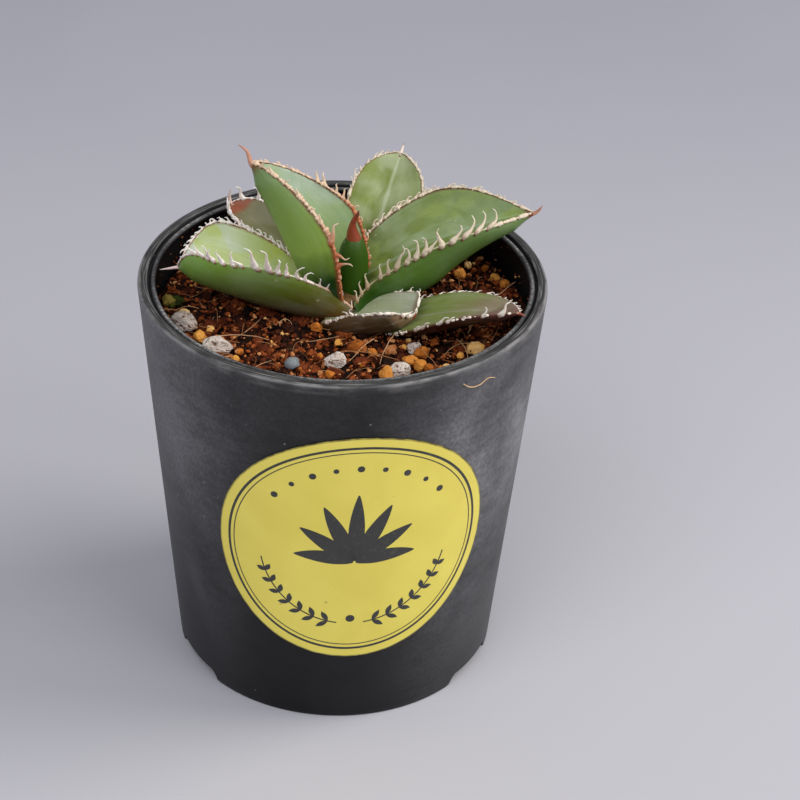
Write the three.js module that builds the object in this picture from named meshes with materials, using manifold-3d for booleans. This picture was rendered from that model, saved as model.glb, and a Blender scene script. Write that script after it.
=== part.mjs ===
// A young agave in a black nursery pot: seven toothed leaves and a closed bud on a short stem,
// rooted in a brown grit of bark crumbs and pumice. The pot carries one round sticker.
// Millimetres and degrees, +Z up. The origin is the middle of the pot's standing plane and the
// sticker faces -Y. A leaf's azimuth turns from +X towards +Y.

import * as THREE from 'three';
import { mergeVertices } from 'three/addons/utils/BufferGeometryUtils.js';
import Module from 'manifold-3d';

const wasm = await Module();
wasm.setup();

// ---------------------------------------------------------------- driving dimensions

const GAP = 0.3; // clear space between neighbouring pieces
const SLIVER = 0.02; // cuts leave no detail finer than this

const POT = {
  height: 95,
  rimRadius: 45,
  baseRadius: 37,
  wall: 2.0,
  rimWidth: 4.0, // lip, groove and inner bead together
  rimDepth: 2.6, // how far the thick rim reaches down
  grooveDepth: 0.6,
  corner: 0.9, // height of the rounded top corner, down to where the straight wall starts
  floorBottom: 5.0,
  floorThickness: 2.0,
  footWidth: 2.6,
  footGapHeight: 2.7,
  footGapWidth: 25, // degrees
  footGaps: [30, 150, 210, 330], // where the gaps between the four feet lie
  drainHoles: 6,
  drainRadius: 3.2,
  drainRing: 22,
  segments: 48,
};

const STICKER = {
  radius: 31.2,
  height: 50.5, // of its middle above the standing plane
  around: 4.0, // arc from the front line to its middle
  lean: 2.0,
  thickness: 0.4,
  clearance: 0.35, // its flat facets stand a little further off the wall than the usual gap
  columns: 10,
  rows: 10,
  poles: 0.97, // the rows stop this far from the middle, so that the first and last keep a width
};

const SOIL = {
  level: 85.8,
  relief: 0.55,
  rings: 11,
  segments: 40,
};

// Loose stones that lie in the top of the grit: middle, half sizes and turn.
const STONES = [
  { name: 'pumice_west', x: -34.6, y: -7.6, half: [3.0, 2.5, 2.0], turn: -35, colour: 'pumice' },
  { name: 'pumice_front_west', x: -27.0, y: -17.2, half: [3.7, 2.3, 1.9], turn: 15, colour: 'pumice' },
  { name: 'pumice_front', x: -1.3, y: -21.8, half: [2.4, 1.9, 1.7], turn: 30, colour: 'pumice' },
  { name: 'pumice_front_east', x: 12.4, y: -25.0, half: [2.6, 2.0, 1.8], turn: -10, colour: 'pumice' },
  { name: 'pumice_small', x: 15.8, y: -15.6, half: [1.6, 1.5, 1.4], turn: 0, colour: 'pumice' },
  { name: 'pebble', x: -10.3, y: -23.0, half: [1.7, 1.5, 1.3], turn: 20, colour: 'pebble' },
];

// Ochre granules that stand out of the grit as bumps: middle and radius.
const GRANULES = [
  { x: -30.6, y: -12.8, r: 1.8 },
  { x: -5.4, y: -8.6, r: 1.4 },
  { x: 3.6, y: -16.0, r: 1.9 },
  { x: 17.4, y: -17.6, r: 1.7 },
  { x: 14.8, y: -20.4, r: 1.7 },
  { x: 17.0, y: -22.6, r: 1.6 },
  { x: 9.8, y: -26.2, r: 1.8 },
  { x: 29.6, y: -15.6, r: 1.9 },
  { x: 26.4, y: 17.0, r: 1.6 },
  { x: 35.0, y: 12.0, r: 1.7 },
];

const STEM = { x: 1.5, y: 3.5, bottom: 78, top: 90.5, radius: 4.2, sides: 12 };

const BUD = { x: 2.1, y: 3.5, bottom: 86, top: 102.3, radius: 3.3, tip: 6.8, sides: 12 };

// A leaf runs from its foot along a curved midrib. azimuth and rise aim it, swing and lift are
// how far both change on the way to the tip, roll and twist turn it about the midrib. Across, the
// two halves stand up like a valley: fold is the slope at the edge and crease how sharp the
// valley's bottom is. widest is where along the leaf it is broadest, shoulder and taper shape the
// way from there to the tip. spine is the length of the end thorn, hook how far it bends, and
// tooth the length of the largest edge tooth.
const LEAVES = [
  {
    name: 'leaf_front', foot: [-2.5, -1.5, 86.0], azimuth: -21, swing: -4, rise: 7, lift: 14,
    roll: 8, twist: 2, length: 20.0, halfWidth: 8.5, footShare: 0.65, widest: 0.8, shoulder: 4.6,
    taper: 1.0, fold: 41, foldFoot: 0.1, crease: 0.65, thickness: 4.0,
    spine: 2.0, hook: 20, tooth: 2.2, skin: 'dusk',
  },
  {
    name: 'leaf_left', foot: [-1.5, 1.5, 86.0], azimuth: 192, swing: -23, rise: 18, lift: -6,
    roll: -20, twist: 17, length: 36.0, halfWidth: 14.0, footShare: 0.4, widest: 0.65, shoulder: 3.8,
    taper: 0.6, fold: 59, foldFoot: 0.85, crease: 0.5, thickness: 3.0,
    spine: 4.1, hook: -25, tooth: 4.2, skin: 'green',
  },
  {
    name: 'leaf_right', foot: [2.5, 7.0, 89.5], azimuth: 19, swing: -15, rise: 27, lift: -17,
    roll: -4, twist: -4, length: 43.0, halfWidth: 11.2, footShare: 0.5, widest: 0.55, shoulder: 1.9,
    taper: 1.35, fold: 52, foldFoot: 0.7, crease: 0.65, thickness: 6.0,
    spine: 2.8, hook: 35, tooth: 3.8, skin: 'green',
  },
  {
    name: 'leaf_tall', foot: [0.5, 3.0, 86.5], azimuth: 156, swing: 10, rise: 59, lift: -11,
    roll: 2, twist: -15, length: 37.5, halfWidth: 12.2, footShare: 0.55, widest: 0.45, shoulder: 1.3,
    taper: 0.8, fold: 71, foldFoot: 0.65, crease: 0.45, thickness: 5.2,
    spine: 5.4, hook: 12, tooth: 2.8, skin: 'green',
  },
  {
    name: 'leaf_back_right', foot: [3.5, 5.5, 86.0], azimuth: 74, swing: -3, rise: 39, lift: -6,
    roll: -7, twist: -6, length: 37.0, halfWidth: 8.0, footShare: 0.5, widest: 0.6, shoulder: 2.9,
    taper: 0.8, fold: 27, foldFoot: 0.6, crease: 0.6, thickness: 3.5,
    spine: 3.4, hook: 0, tooth: 2.0, skin: 'lime',
  },
  {
    name: 'leaf_back_left', foot: [0.0, 6.0, 86.5], azimuth: 139, swing: 2, rise: 20, lift: -6,
    roll: -2, twist: 8, length: 35.5, halfWidth: 5.2, footShare: 0.5, widest: 0.7, shoulder: 3.3,
    taper: 0.8, fold: 41, foldFoot: 0.6, crease: 0.6, thickness: 3.0,
    spine: 2.6, hook: 40, tooth: 3.2, skin: 'dusk',
  },
  {
    name: 'leaf_low', foot: [8.0, -2.0, 84.0], azimuth: -16, swing: -19, rise: 25, lift: -10,
    roll: -3, twist: 20, length: 35.5, halfWidth: 10.7, footShare: 0.3, widest: 0.5, shoulder: 2.4,
    taper: 1.0, fold: 9, foldFoot: 0.55, crease: 0.6, thickness: 3.2,
    spine: 2.2, hook: 10, tooth: 2.2, skin: 'dusk',
  },
];

const BLADE = {
  edge: 0.9, // thickness of the bare leaf edge
  rings: 12,
  across: 4, // strips on each half of the leaf
  tipCrowd: 1.9, // how much closer the rings stand towards the tip
};

const HORN = {
  width: 0.7,
  thickness: 0.9,
  start: 0.16, // share of the edge left bare at the foot
  toothGap: 3.8, // along the edge from tooth to tooth
  rootShift: 0.5, // how far a tooth's root starts past a third of that gap
  spineRoot: 1.15,
};

const COLOURS = {
  pot: [0x35373c, 0.55],
  sticker: [0xd8c86a, 0.6],
  soil: [0x5a3020, 0.95],
  pumice: [0xd6cec4, 0.95],
  pebble: [0x8d9296, 0.6],
  stem: [0x8a6a3c, 0.9],
  green: [0x5f8a4c, 0.5],
  lime: [0x9db271, 0.5],
  dusk: [0x76796c, 0.55],
  bud: [0x4e8043, 0.45],
  budTip: [0x9a3f28, 0.5],
  horn: [0xdccbb8, 0.6],
};

// ---------------------------------------------------------------- small helpers

const radians = THREE.MathUtils.degToRad;
const mix = THREE.MathUtils.lerp;
const clamp = THREE.MathUtils.clamp;

/** A repeatable number from 0 to 1 for each whole number. */
function chance(n) {
  const wave = Math.sin(n * 12.9898 + 78.233) * 43758.5453;
  return wave - Math.floor(wave);
}

function vector(x, y, z) {
  return new THREE.Vector3(x, y, z);
}

/** The point at origin plus each [length, direction] pair. */
function offset(origin, ...moves) {
  const point = origin.clone();
  for (const [length, direction] of moves) point.addScaledVector(direction, length);
  return point;
}

/** A closed geometry from points and triangles, turned so that its faces point out. */
function closedGeometry(points, triangles) {
  let volume = 0;
  for (const [a, b, c] of triangles) {
    volume += points[a].dot(vector(0, 0, 0).crossVectors(points[b], points[c]));
  }
  const index = triangles.flatMap(([a, b, c]) => (volume > 0 ? [a, b, c] : [a, c, b]));
  const geometry = new THREE.BufferGeometry();
  const positions = points.flatMap((p) => [p.x, p.y, p.z]);
  geometry.setAttribute('position', new THREE.Float32BufferAttribute(positions, 3));
  geometry.setIndex(index);
  return geometry;
}

/** A closed solid through rings of points, closed by a fan at each end. */
function loft(rings) {
  const count = rings[0].length;
  const points = rings.flat();
  const triangles = [];
  for (let i = 0; i < rings.length - 1; i += 1) {
    for (let j = 0; j < count; j += 1) {
      const next = (j + 1) % count;
      const [a, b, c, d] = [i * count + j, i * count + next, (i + 1) * count + j, (i + 1) * count + next];
      triangles.push([a, b, d], [a, d, c]);
    }
  }
  const last = (rings.length - 1) * count;
  for (let j = 1; j < count - 1; j += 1) {
    triangles.push([0, j + 1, j], [last, last + j, last + j + 1]);
  }
  return closedGeometry(points, triangles);
}

/** A closed sheet between two grids of points that lie face to face. */
function sheet(upper, lower) {
  const rows = upper.length;
  const columns = upper[0].length;
  const points = [...upper.flat(), ...lower.flat()];
  const triangles = [];
  const at = (side, i, j) => side * rows * columns + i * columns + j;
  const quad = (a, b, c, d) => triangles.push([a, b, c], [a, c, d]);
  for (let i = 0; i < rows - 1; i += 1) {
    for (let j = 0; j < columns - 1; j += 1) {
      quad(at(0, i, j), at(0, i, j + 1), at(0, i + 1, j + 1), at(0, i + 1, j));
      triangles.push([at(1, i, j), at(1, i + 1, j + 1), at(1, i, j + 1)]);
      triangles.push([at(1, i, j), at(1, i + 1, j), at(1, i + 1, j + 1)]);
    }
    quad(at(0, i, 0), at(0, i + 1, 0), at(1, i + 1, 0), at(1, i, 0));
    quad(at(0, i + 1, columns - 1), at(0, i, columns - 1), at(1, i, columns - 1), at(1, i + 1, columns - 1));
  }
  for (let j = 0; j < columns - 1; j += 1) {
    quad(at(0, 0, j + 1), at(0, 0, j), at(1, 0, j), at(1, 0, j + 1));
    quad(at(0, rows - 1, j), at(0, rows - 1, j + 1), at(1, rows - 1, j + 1), at(1, rows - 1, j));
  }
  return closedGeometry(points, triangles);
}

/** The boolean solid of a closed geometry. */
function toSolid(geometry) {
  const bare = geometry.clone();
  bare.deleteAttribute('normal');
  bare.deleteAttribute('uv');
  const merged = mergeVertices(bare, 1e-4);
  const vertProperties = Float32Array.from(merged.attributes.position.array);
  const triVerts = Uint32Array.from(merged.index.array);
  return new wasm.Manifold(new wasm.Mesh({ numProp: 3, vertProperties, triVerts, tolerance: SLIVER }));
}

/** The geometry of a boolean solid, with its loose scraps dropped. */
function toGeometry(solid) {
  const pieces = solid.decompose();
  const largest = pieces.reduce((best, piece) => (piece.volume() > best.volume() ? piece : best));
  const mesh = largest.getMesh();
  const geometry = new THREE.BufferGeometry();
  geometry.setAttribute('position', new THREE.Float32BufferAttribute(mesh.vertProperties, 3));
  geometry.setIndex(new THREE.Uint32BufferAttribute(mesh.triVerts, 1));
  return geometry;
}

function joined(solids) {
  return solids.reduce((sum, solid) => sum.add(solid));
}

// ---------------------------------------------------------------- pot

/** Outer radius of the pot's wall at a height. */
function wallRadius(z) {
  return mix(POT.baseRadius, POT.rimRadius, z / (POT.height - POT.corner));
}

/** Half section of the pot, from under its floor up the outside, round the rim and down inside. */
function potProfile() {
  const { height, rimRadius, rimWidth, rimDepth, grooveDepth, wall } = POT;
  const floorTop = POT.floorBottom + POT.floorThickness;
  const under = height - rimDepth;
  const bead = rimRadius - rimWidth;
  return [
    [0, floorTop],
    [wallRadius(floorTop) - wall - 1.5, floorTop],
    [wallRadius(floorTop) - wall, floorTop + 1.5],
    [wallRadius(under) - wall, under],
    [bead, under + 1.0],
    [bead, height - 0.8],
    [bead + 0.35, height - 0.45],
    [bead + 1.15, height - 0.45],
    [bead + 1.3, height - 0.45 - grooveDepth],
    [bead + 1.6, height - 0.45 - grooveDepth],
    [bead + 1.8, height - 0.15],
    [bead + 2.2, height],
    [rimRadius - 0.7, height],
    [rimRadius - 0.15, height - 0.3],
    [rimRadius, height - POT.corner],
    [wallRadius(0.4), 0.4],
    [POT.baseRadius - 0.4, 0],
    [POT.baseRadius - POT.footWidth, 0],
    [POT.baseRadius - POT.footWidth, POT.floorBottom],
    [0, POT.floorBottom],
  ].reverse().map(([r, z]) => new THREE.Vector2(r, z));
}

/** A lathe stands round Y: this turns it to stand round Z. */
function upright(profile, segments) {
  const geometry = new THREE.LatheGeometry(profile, segments);
  geometry.rotateX(Math.PI / 2);
  return geometry;
}

/** An upright disc, such as a drain hole's core. */
function disc(radius, bottom, top, segments, x = 0, y = 0) {
  const profile = [[0, bottom], [radius, bottom], [radius, top], [0, top]];
  const geometry = upright(profile.map(([r, z]) => new THREE.Vector2(r, z)), segments);
  geometry.translate(x, y, 0);
  return geometry;
}

/** The wedge of air between two feet, on the side that an angle aims at. */
function footGap(angle) {
  const reach = POT.baseRadius * 1.5;
  const half = radians(POT.footGapWidth / 2);
  const shape = new THREE.Shape();
  shape.moveTo(0, 0);
  for (let step = 0; step <= 4; step += 1) {
    const turn = radians(angle) + mix(-half, half, step / 4);
    shape.lineTo(Math.cos(turn) * reach, Math.sin(turn) * reach);
  }
  shape.closePath();
  const depthDown = POT.footGapHeight + 1;
  const geometry = new THREE.ExtrudeGeometry(shape, { depth: depthDown, bevelEnabled: false });
  geometry.translate(0, 0, -1);
  return geometry;
}

function potSolid() {
  let pot = toSolid(upright(potProfile(), POT.segments));
  for (const angle of POT.footGaps) pot = pot.subtract(toSolid(footGap(angle)));
  for (let hole = 0; hole < POT.drainHoles; hole += 1) {
    const turn = (hole / POT.drainHoles) * 2 * Math.PI;
    const [x, y] = [Math.cos(turn) * POT.drainRing, Math.sin(turn) * POT.drainRing];
    const [below, above] = [POT.floorBottom - 1, POT.floorBottom + POT.floorThickness + 1];
    pot = pot.subtract(toSolid(disc(POT.drainRadius, below, above, 10, x, y)));
  }
  return pot;
}

/** The round sticker, bent to the wall. */
function stickerSolid() {
  const face = (clearance) => {
    const grid = [];
    for (let row = 0; row <= STICKER.rows; row += 1) {
      const turn = mix(-STICKER.poles, STICKER.poles, row / STICKER.rows) * (Math.PI / 2);
      const rise = Math.sin(turn) * STICKER.radius;
      const halfChord = Math.cos(turn) * STICKER.radius;
      const z = STICKER.height + rise;
      const radius = wallRadius(z) + clearance;
      const line = [];
      for (let column = 0; column <= STICKER.columns; column += 1) {
        const along = mix(-halfChord, halfChord, column / STICKER.columns);
        const arc = STICKER.around + along + rise * Math.sin(radians(STICKER.lean));
        const angle = arc / wallRadius(z);
        line.push(vector(Math.sin(angle) * radius, -Math.cos(angle) * radius, z));
      }
      grid.push(line);
    }
    return grid;
  };
  return toSolid(sheet(face(STICKER.clearance + STICKER.thickness), face(STICKER.clearance)));
}

// ---------------------------------------------------------------- grit, stones and stem

/** Height of the grit at a place, with its crumbs and granules. */
function soilHeight(x, y) {
  const wave = (across, away, shift) => Math.sin(x * across + y * away + shift);
  let z = SOIL.level + (SOIL.relief * (wave(1.1, 0.4, 0) + wave(-0.5, 1.3, 1) + wave(0.8, 0.8, 2))) / 2;
  for (const { x: gx, y: gy, r } of GRANULES) {
    const far = Math.hypot(x - gx, y - gy) / (r * 1.3);
    if (far < 1) z = Math.max(z, SOIL.level + r * Math.sqrt(1 - far * far));
  }
  return z;
}

/** The filling of the pot. raise lifts its top, for cutting what stands on it. */
function soilSolid(raise = 0) {
  const floor = POT.floorBottom + POT.floorThickness + GAP;
  const inner = (z) => wallRadius(z) - POT.wall - GAP - 0.1;
  const ring = (radius, height) => {
    const points = [];
    for (let j = 0; j < SOIL.segments; j += 1) {
      const turn = (j / SOIL.segments) * 2 * Math.PI;
      const [x, y] = [Math.cos(turn) * radius, Math.sin(turn) * radius];
      points.push(vector(x, y, height ?? soilHeight(x, y) + raise));
    }
    return points;
  };
  const rings = [ring(0.4, floor), ring(inner(floor) - 1.5, floor), ring(inner(floor), floor + 1.5)];
  const rim = inner(SOIL.level);
  rings.push(ring(inner(SOIL.level - 3), SOIL.level - 3));
  for (let i = 0; i < SOIL.rings; i += 1) rings.push(ring(rim * (1 - i / SOIL.rings)));
  rings.push(ring(0.4));
  return toSolid(loft(rings));
}

/** A rough stone: a coarse ball whose corners are pushed in and out by chance. */
function stoneSolid({ x, y, half, turn }, seed, grow = 0) {
  const ball = new THREE.IcosahedronGeometry(1, 1);
  ball.deleteAttribute('normal');
  ball.deleteAttribute('uv');
  const geometry = mergeVertices(ball, 1e-3);
  const place = geometry.attributes.position;
  for (let i = 0; i < place.count; i += 1) {
    const swell = 0.86 + 0.22 * chance(seed * 50 + i);
    place.setXYZ(
      i,
      place.getX(i) * (half[0] * swell + grow),
      place.getY(i) * (half[1] * swell + grow),
      place.getZ(i) * (half[2] * swell + grow),
    );
  }
  geometry.rotateZ(radians(turn));
  geometry.translate(x, y, SOIL.level + half[2] * 0.45);
  return toSolid(geometry);
}

function stemSolid(grow = 0) {
  const { x, y, bottom, top, radius, sides } = STEM;
  const profile = [
    [0, bottom - grow], [radius * 0.5 + grow, bottom - grow], [radius + grow, bottom + 4],
    [radius + grow, top - 3], [radius * 0.6 + grow, top + grow], [0, top + grow],
  ];
  const geometry = upright(profile.map(([r, z]) => new THREE.Vector2(r, z)), sides);
  geometry.translate(x, y, 0);
  return toSolid(geometry);
}

// ---------------------------------------------------------------- bud

/** Radius of the closed bud at a share of its height. */
function budRadius(share) {
  return BUD.radius * Math.sin(Math.PI * (0.2 + 0.66 * share)) ** 0.75;
}

function budSolid(grow = 0) {
  const profile = [[0, BUD.bottom - grow]];
  for (let step = 0; step <= 7; step += 1) {
    const share = step / 7;
    profile.push([budRadius(share) + grow, mix(BUD.bottom - grow, BUD.top + grow, share)]);
  }
  profile.push([0, BUD.top + grow]);
  const geometry = upright(profile.map(([r, z]) => new THREE.Vector2(r, z)), BUD.sides);
  geometry.translate(BUD.x, BUD.y, 0);
  return toSolid(geometry);
}

/** The red-brown thorn that closes the bud. */
function budTipSolid(grow = 0) {
  const bottom = BUD.top + GAP - grow;
  const root = budRadius(1) + grow;
  const top = bottom + BUD.tip;
  const profile = [[0, bottom], [root, bottom], [root * 0.55, mix(bottom, top, 0.5)], [0.2, top], [0, top]];
  const geometry = upright(profile.map(([r, z]) => new THREE.Vector2(r, z)), BUD.sides);
  geometry.translate(BUD.x, BUD.y, 0);
  return toSolid(geometry);
}

// ---------------------------------------------------------------- leaves

/** Direction of the midrib at a share of its length. */
function midribHeading(leaf, t) {
  const rise = radians(leaf.rise + leaf.lift * t ** 1.3);
  const azimuth = radians(leaf.azimuth + leaf.swing * t);
  return { rise, azimuth };
}

/** Points along the midrib, one more than steps. */
function midrib(leaf, steps) {
  const points = [vector(...leaf.foot)];
  for (let i = 0; i < steps; i += 1) {
    const { rise, azimuth } = midribHeading(leaf, (i + 0.5) / steps);
    const flat = Math.cos(rise);
    const heading = vector(Math.cos(azimuth) * flat, Math.sin(azimuth) * flat, Math.sin(rise));
    points.push(offset(points[i], [leaf.length / steps, heading]));
  }
  return points;
}

/** Half the leaf's width, measured along its skin. */
function halfWidth(leaf, t) {
  if (t < leaf.widest) {
    return leaf.halfWidth * mix(leaf.footShare, 1, Math.sin((Math.PI / 2) * (t / leaf.widest)));
  }
  const past = clamp((t - leaf.widest) / (1 - leaf.widest), 0, 1);
  return leaf.halfWidth * (1 - past ** leaf.shoulder) ** leaf.taper;
}

/** Slope of the skin across the leaf: u runs from -1 at one edge to 1 at the other. */
function slope(leaf, t, u) {
  const opening = mix(leaf.foldFoot, 1, Math.sin((Math.PI / 2) * Math.min(t / 0.5, 1)));
  return radians(leaf.fold) * opening * Math.abs(u) ** leaf.crease;
}

/** Depth of the flesh below the upper skin. */
function depth(leaf, t, u) {
  const body = leaf.thickness * (1 - 0.75 * t ** 1.6) * (1 - Math.abs(u) ** 1.8);
  return (BLADE.edge + body) * Math.min(1, (1 - t) * 6 + 0.35);
}

const MIDRIB_STEPS = 64;

/** A function that gives the frame of the leaf's upper skin at (t, u). */
function leafSkin(leaf) {
  const line = midrib(leaf, MIDRIB_STEPS);
  return (t, u, widen = 0) => {
    const place = clamp(t, 0, 1) * MIDRIB_STEPS;
    const cell = Math.min(Math.floor(place), MIDRIB_STEPS - 1);
    const base = line[cell].clone().lerp(line[cell + 1], place - cell);
    const { rise, azimuth } = midribHeading(leaf, t);
    const flat = Math.cos(rise);
    const along = vector(Math.cos(azimuth) * flat, Math.sin(azimuth) * flat, Math.sin(rise));
    const level = vector(Math.sin(azimuth), -Math.cos(azimuth), 0);
    const above = vector(0, 0, 0).crossVectors(level, along);
    const turn = radians(leaf.roll + leaf.twist * t);
    const side = offset(vector(0, 0, 0), [Math.cos(turn), level], [Math.sin(turn), above]);
    const up = offset(vector(0, 0, 0), [Math.cos(turn), above], [-Math.sin(turn), level]);
    const width = halfWidth(leaf, t) + widen;
    const sign = Math.sign(u) || 1;
    const pieces = 16;
    let [across, rises] = [0, 0];
    for (let i = 0; i < pieces; i += 1) {
      const angle = slope(leaf, t, (Math.abs(u) * (i + 0.5)) / pieces);
      across += (Math.cos(angle) * Math.abs(u)) / pieces;
      rises += (Math.sin(angle) * Math.abs(u)) / pieces;
    }
    const angle = slope(leaf, t, u) * sign;
    return {
      point: offset(base, [sign * width * across, side], [width * rises, up]),
      normal: offset(vector(0, 0, 0), [Math.cos(angle), up], [-Math.sin(angle), side]),
      outward: offset(vector(0, 0, 0), [sign * Math.cos(angle), side], [sign * Math.sin(angle), up]),
      along,
    };
  };
}

/** The leaf's flesh. grow makes it fatter all round, for cutting its neighbours. */
function bladeSolid(leaf, grow = 0) {
  const skin = leafSkin(leaf);
  const upper = [];
  const lower = [];
  for (let i = 0; i <= BLADE.rings; i += 1) {
    const t = (1 - (1 - i / BLADE.rings) ** BLADE.tipCrowd) * 0.998;
    const stretch = (t - 0.4) * 2 * grow;
    const [top, bottom] = [[], []];
    for (let j = -BLADE.across; j <= BLADE.across; j += 1) {
      const u = j / BLADE.across;
      const { point, normal, along } = skin(t, u, grow);
      top.push(offset(point, [grow, normal], [stretch, along]));
      bottom.push(offset(point, [-depth(leaf, t, u) - grow, normal], [stretch, along]));
    }
    upper.push(top);
    lower.push(bottom);
  }
  return toSolid(sheet(upper, lower));
}

/** Frames along one edge of the leaf, evenly spaced from its bare foot to its tip. */
function edgeFrames(leaf, sign, count) {
  const skin = leafSkin(leaf);
  const fine = 120; // samples that the even spacing is measured on, crowded towards the tip
  const raw = [];
  for (let i = 0; i <= fine; i += 1) {
    const t = 1 - (1 - i / fine) ** BLADE.tipCrowd;
    const frame = skin(t, sign);
    frame.point.addScaledVector(frame.normal, -depth(leaf, t, 1) / 2);
    raw.push(frame);
  }
  const reach = [0];
  for (let i = 1; i <= fine; i += 1) reach.push(reach[i - 1] + raw[i].point.distanceTo(raw[i - 1].point));
  const total = reach[fine];
  const frames = [];
  let cell = 0;
  for (let k = 0; k <= count; k += 1) {
    const wanted = mix(HORN.start, 1, k / count) * total;
    while (cell < fine - 1 && reach[cell + 1] < wanted) cell += 1;
    const part = (wanted - reach[cell]) / (reach[cell + 1] - reach[cell]);
    const [from, to] = [raw[cell], raw[cell + 1]];
    const point = from.point.clone().lerp(to.point, part);
    const along = to.point.clone().sub(from.point).normalize();
    const normal = from.normal.clone().lerp(to.normal, part);
    normal.addScaledVector(along, -normal.dot(along)).normalize();
    const outward = vector(0, 0, 0).crossVectors(along, normal).normalize();
    if (outward.dot(from.outward) + outward.dot(from.along) < 0) outward.negate();
    frames.push({ point, along, normal, outward });
  }
  return { frames, total: total * (1 - HORN.start) };
}

/** Size and bend of each tooth along one edge: largest past the middle, small by foot and tip. */
function toothPlan(leaf, count, seed) {
  const plan = [];
  for (let k = 0; k < count; k += 1) {
    const place = (k + 0.5) / count;
    const size = leaf.tooth * mix(0.35, 1, Math.sin(Math.PI * Math.min(place * 1.1, 1) ** 0.8));
    plan.push({
      length: size * mix(0.7, 1.2, chance(seed + k)),
      curl: (chance(seed + k + 100) - 0.35) * 0.9,
      lean: mix(0.1, 0.5, chance(seed + k + 200)),
    });
  }
  return plan;
}

/** The horny rim along one edge, drawn out into its teeth. */
function rimSolid(leaf, sign, seed, grow) {
  const { total } = edgeFrames(leaf, sign, 1);
  const count = Math.max(4, Math.round(total / HORN.toothGap));
  const { frames } = edgeFrames(leaf, sign, count * 3);
  const plan = toothPlan(leaf, count, seed);
  const half = HORN.thickness / 2 + grow;
  const rings = frames.map((frame, i) => {
    const { point, along, normal, outward } = frame;
    const inner = GAP - grow;
    let outer = offset(point, [GAP + HORN.width + grow, outward]);
    let tip = half * 0.6;
    if (i % 3 === 2) {
      const { length, curl, lean } = plan[(i - 2) / 3];
      const sweep = [length * curl, along];
      outer = offset(outer, [length, outward], sweep, [length * lean, normal]);
      tip = 0.12 + grow;
    }
    // Every third ring is a tooth's tip. The ring before it closes in on the tooth's root.
    const shift = i % 3 === 1 ? HORN.rootShift : 0;
    return [
      offset(point, [inner, outward], [half, normal], [shift, along]),
      offset(outer, [tip, normal], [shift, along]),
      offset(outer, [-tip, normal], [shift, along]),
      offset(point, [inner, outward], [-half, normal], [shift, along]),
    ];
  });
  return toSolid(loft(rings));
}

/** The thorn at the leaf's end, from the tip of the flesh outwards. */
function spineSolid(leaf, grow) {
  const skin = leafSkin(leaf);
  const { point, normal, along } = skin(1, 0);
  const root = offset(point, [-depth(leaf, 1, 0) / 2, normal], [GAP + 0.1, along]);
  const bend = Math.tan(radians(leaf.hook));
  const side = vector(0, 0, 0).crossVectors(along, normal);
  const rings = [];
  for (let i = 0; i <= 4; i += 1) {
    const s = i / 4;
    const radius = mix(HORN.spineRoot, 0.15, s ** 0.7) + grow;
    const middle = offset(root, [leaf.spine * s, along], [leaf.spine * bend * s * s, normal]);
    const ring = [];
    for (let k = 0; k < 6; k += 1) {
      const turn = (k / 6) * 2 * Math.PI;
      ring.push(offset(middle, [Math.cos(turn) * radius, side], [Math.sin(turn) * radius, normal]));
    }
    rings.push(ring);
  }
  return toSolid(loft(rings));
}

/** All of a leaf's horn: both rims with their teeth, and the end thorn. */
function hornSolid(leaf, seed, grow = 0) {
  const rims = [-1, 1].map((sign) => rimSolid(leaf, sign, seed + (sign + 1) * 500, grow));
  return joined([spineSolid(leaf, grow), ...rims]);
}

// ---------------------------------------------------------------- assembly

// Each piece gives its solid, and a fatter copy that cuts the pieces listed after it, so that
// neighbours stay clear of each other by the gap.
const pieces = [
  { name: 'stem', colour: 'stem', solid: stemSolid },
  ...STONES.map((stone, seed) => ({
    name: stone.name, colour: stone.colour, solid: (grow) => stoneSolid(stone, seed + 1, grow),
  })),
  { name: 'soil', colour: 'soil', solid: (grow) => soilSolid(grow) },
  { name: 'bud', colour: 'bud', solid: budSolid },
  ...LEAVES.map((leaf) => ({ name: leaf.name, colour: leaf.skin, solid: (grow) => bladeSolid(leaf, grow) })),
  { name: 'bud_tip', colour: 'budTip', solid: budTipSolid },
  ...LEAVES.map((leaf, seed) => ({
    name: leaf.name.replace('leaf', 'horn'),
    colour: 'horn',
    solid: (grow) => hornSolid(leaf, seed * 37 + 5, grow),
  })),
];

/** The solid as made, less the fatter copies of the neighbours that come before it. */
function clearOf(solid, cutters) {
  let result = solid;
  for (const cutter of cutters) {
    if (result.intersect(cutter).volume() > 0) result = result.subtract(cutter);
  }
  return result;
}

function material(colour) {
  const [hex, roughness] = COLOURS[colour];
  return new THREE.MeshStandardMaterial({ color: hex, roughness, metalness: 0 });
}

function addMesh(group, name, colour, geometry) {
  const mesh = new THREE.Mesh(geometry, material(colour));
  mesh.name = name;
  group.add(mesh);
}

const agave = new THREE.Group();
addMesh(agave, 'pot', 'pot', toGeometry(potSolid()));
addMesh(agave, 'sticker', 'sticker', toGeometry(stickerSolid()));
const cutters = [];
for (const { name, colour, solid } of pieces) {
  addMesh(agave, name, colour, toGeometry(clearOf(solid(0), cutters)));
  cutters.push(solid(GAP));
}

export default agave;
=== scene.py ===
"""A young toothed agave in a black nursery pot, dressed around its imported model.

Sizes are in millimetres and degrees unless a name says otherwise, and meshes are made in metres.
A leaf's place is given by "along", from its foot to its tip, and "across", from one edge to the other.
"""

from __future__ import annotations

import logging
import math
from collections.abc import Callable, Iterable, Sequence
from dataclasses import dataclass, field, replace
from enum import Enum

import bmesh
import bpy
import numpy as np
from mathutils import Matrix, Vector, noise


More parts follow.
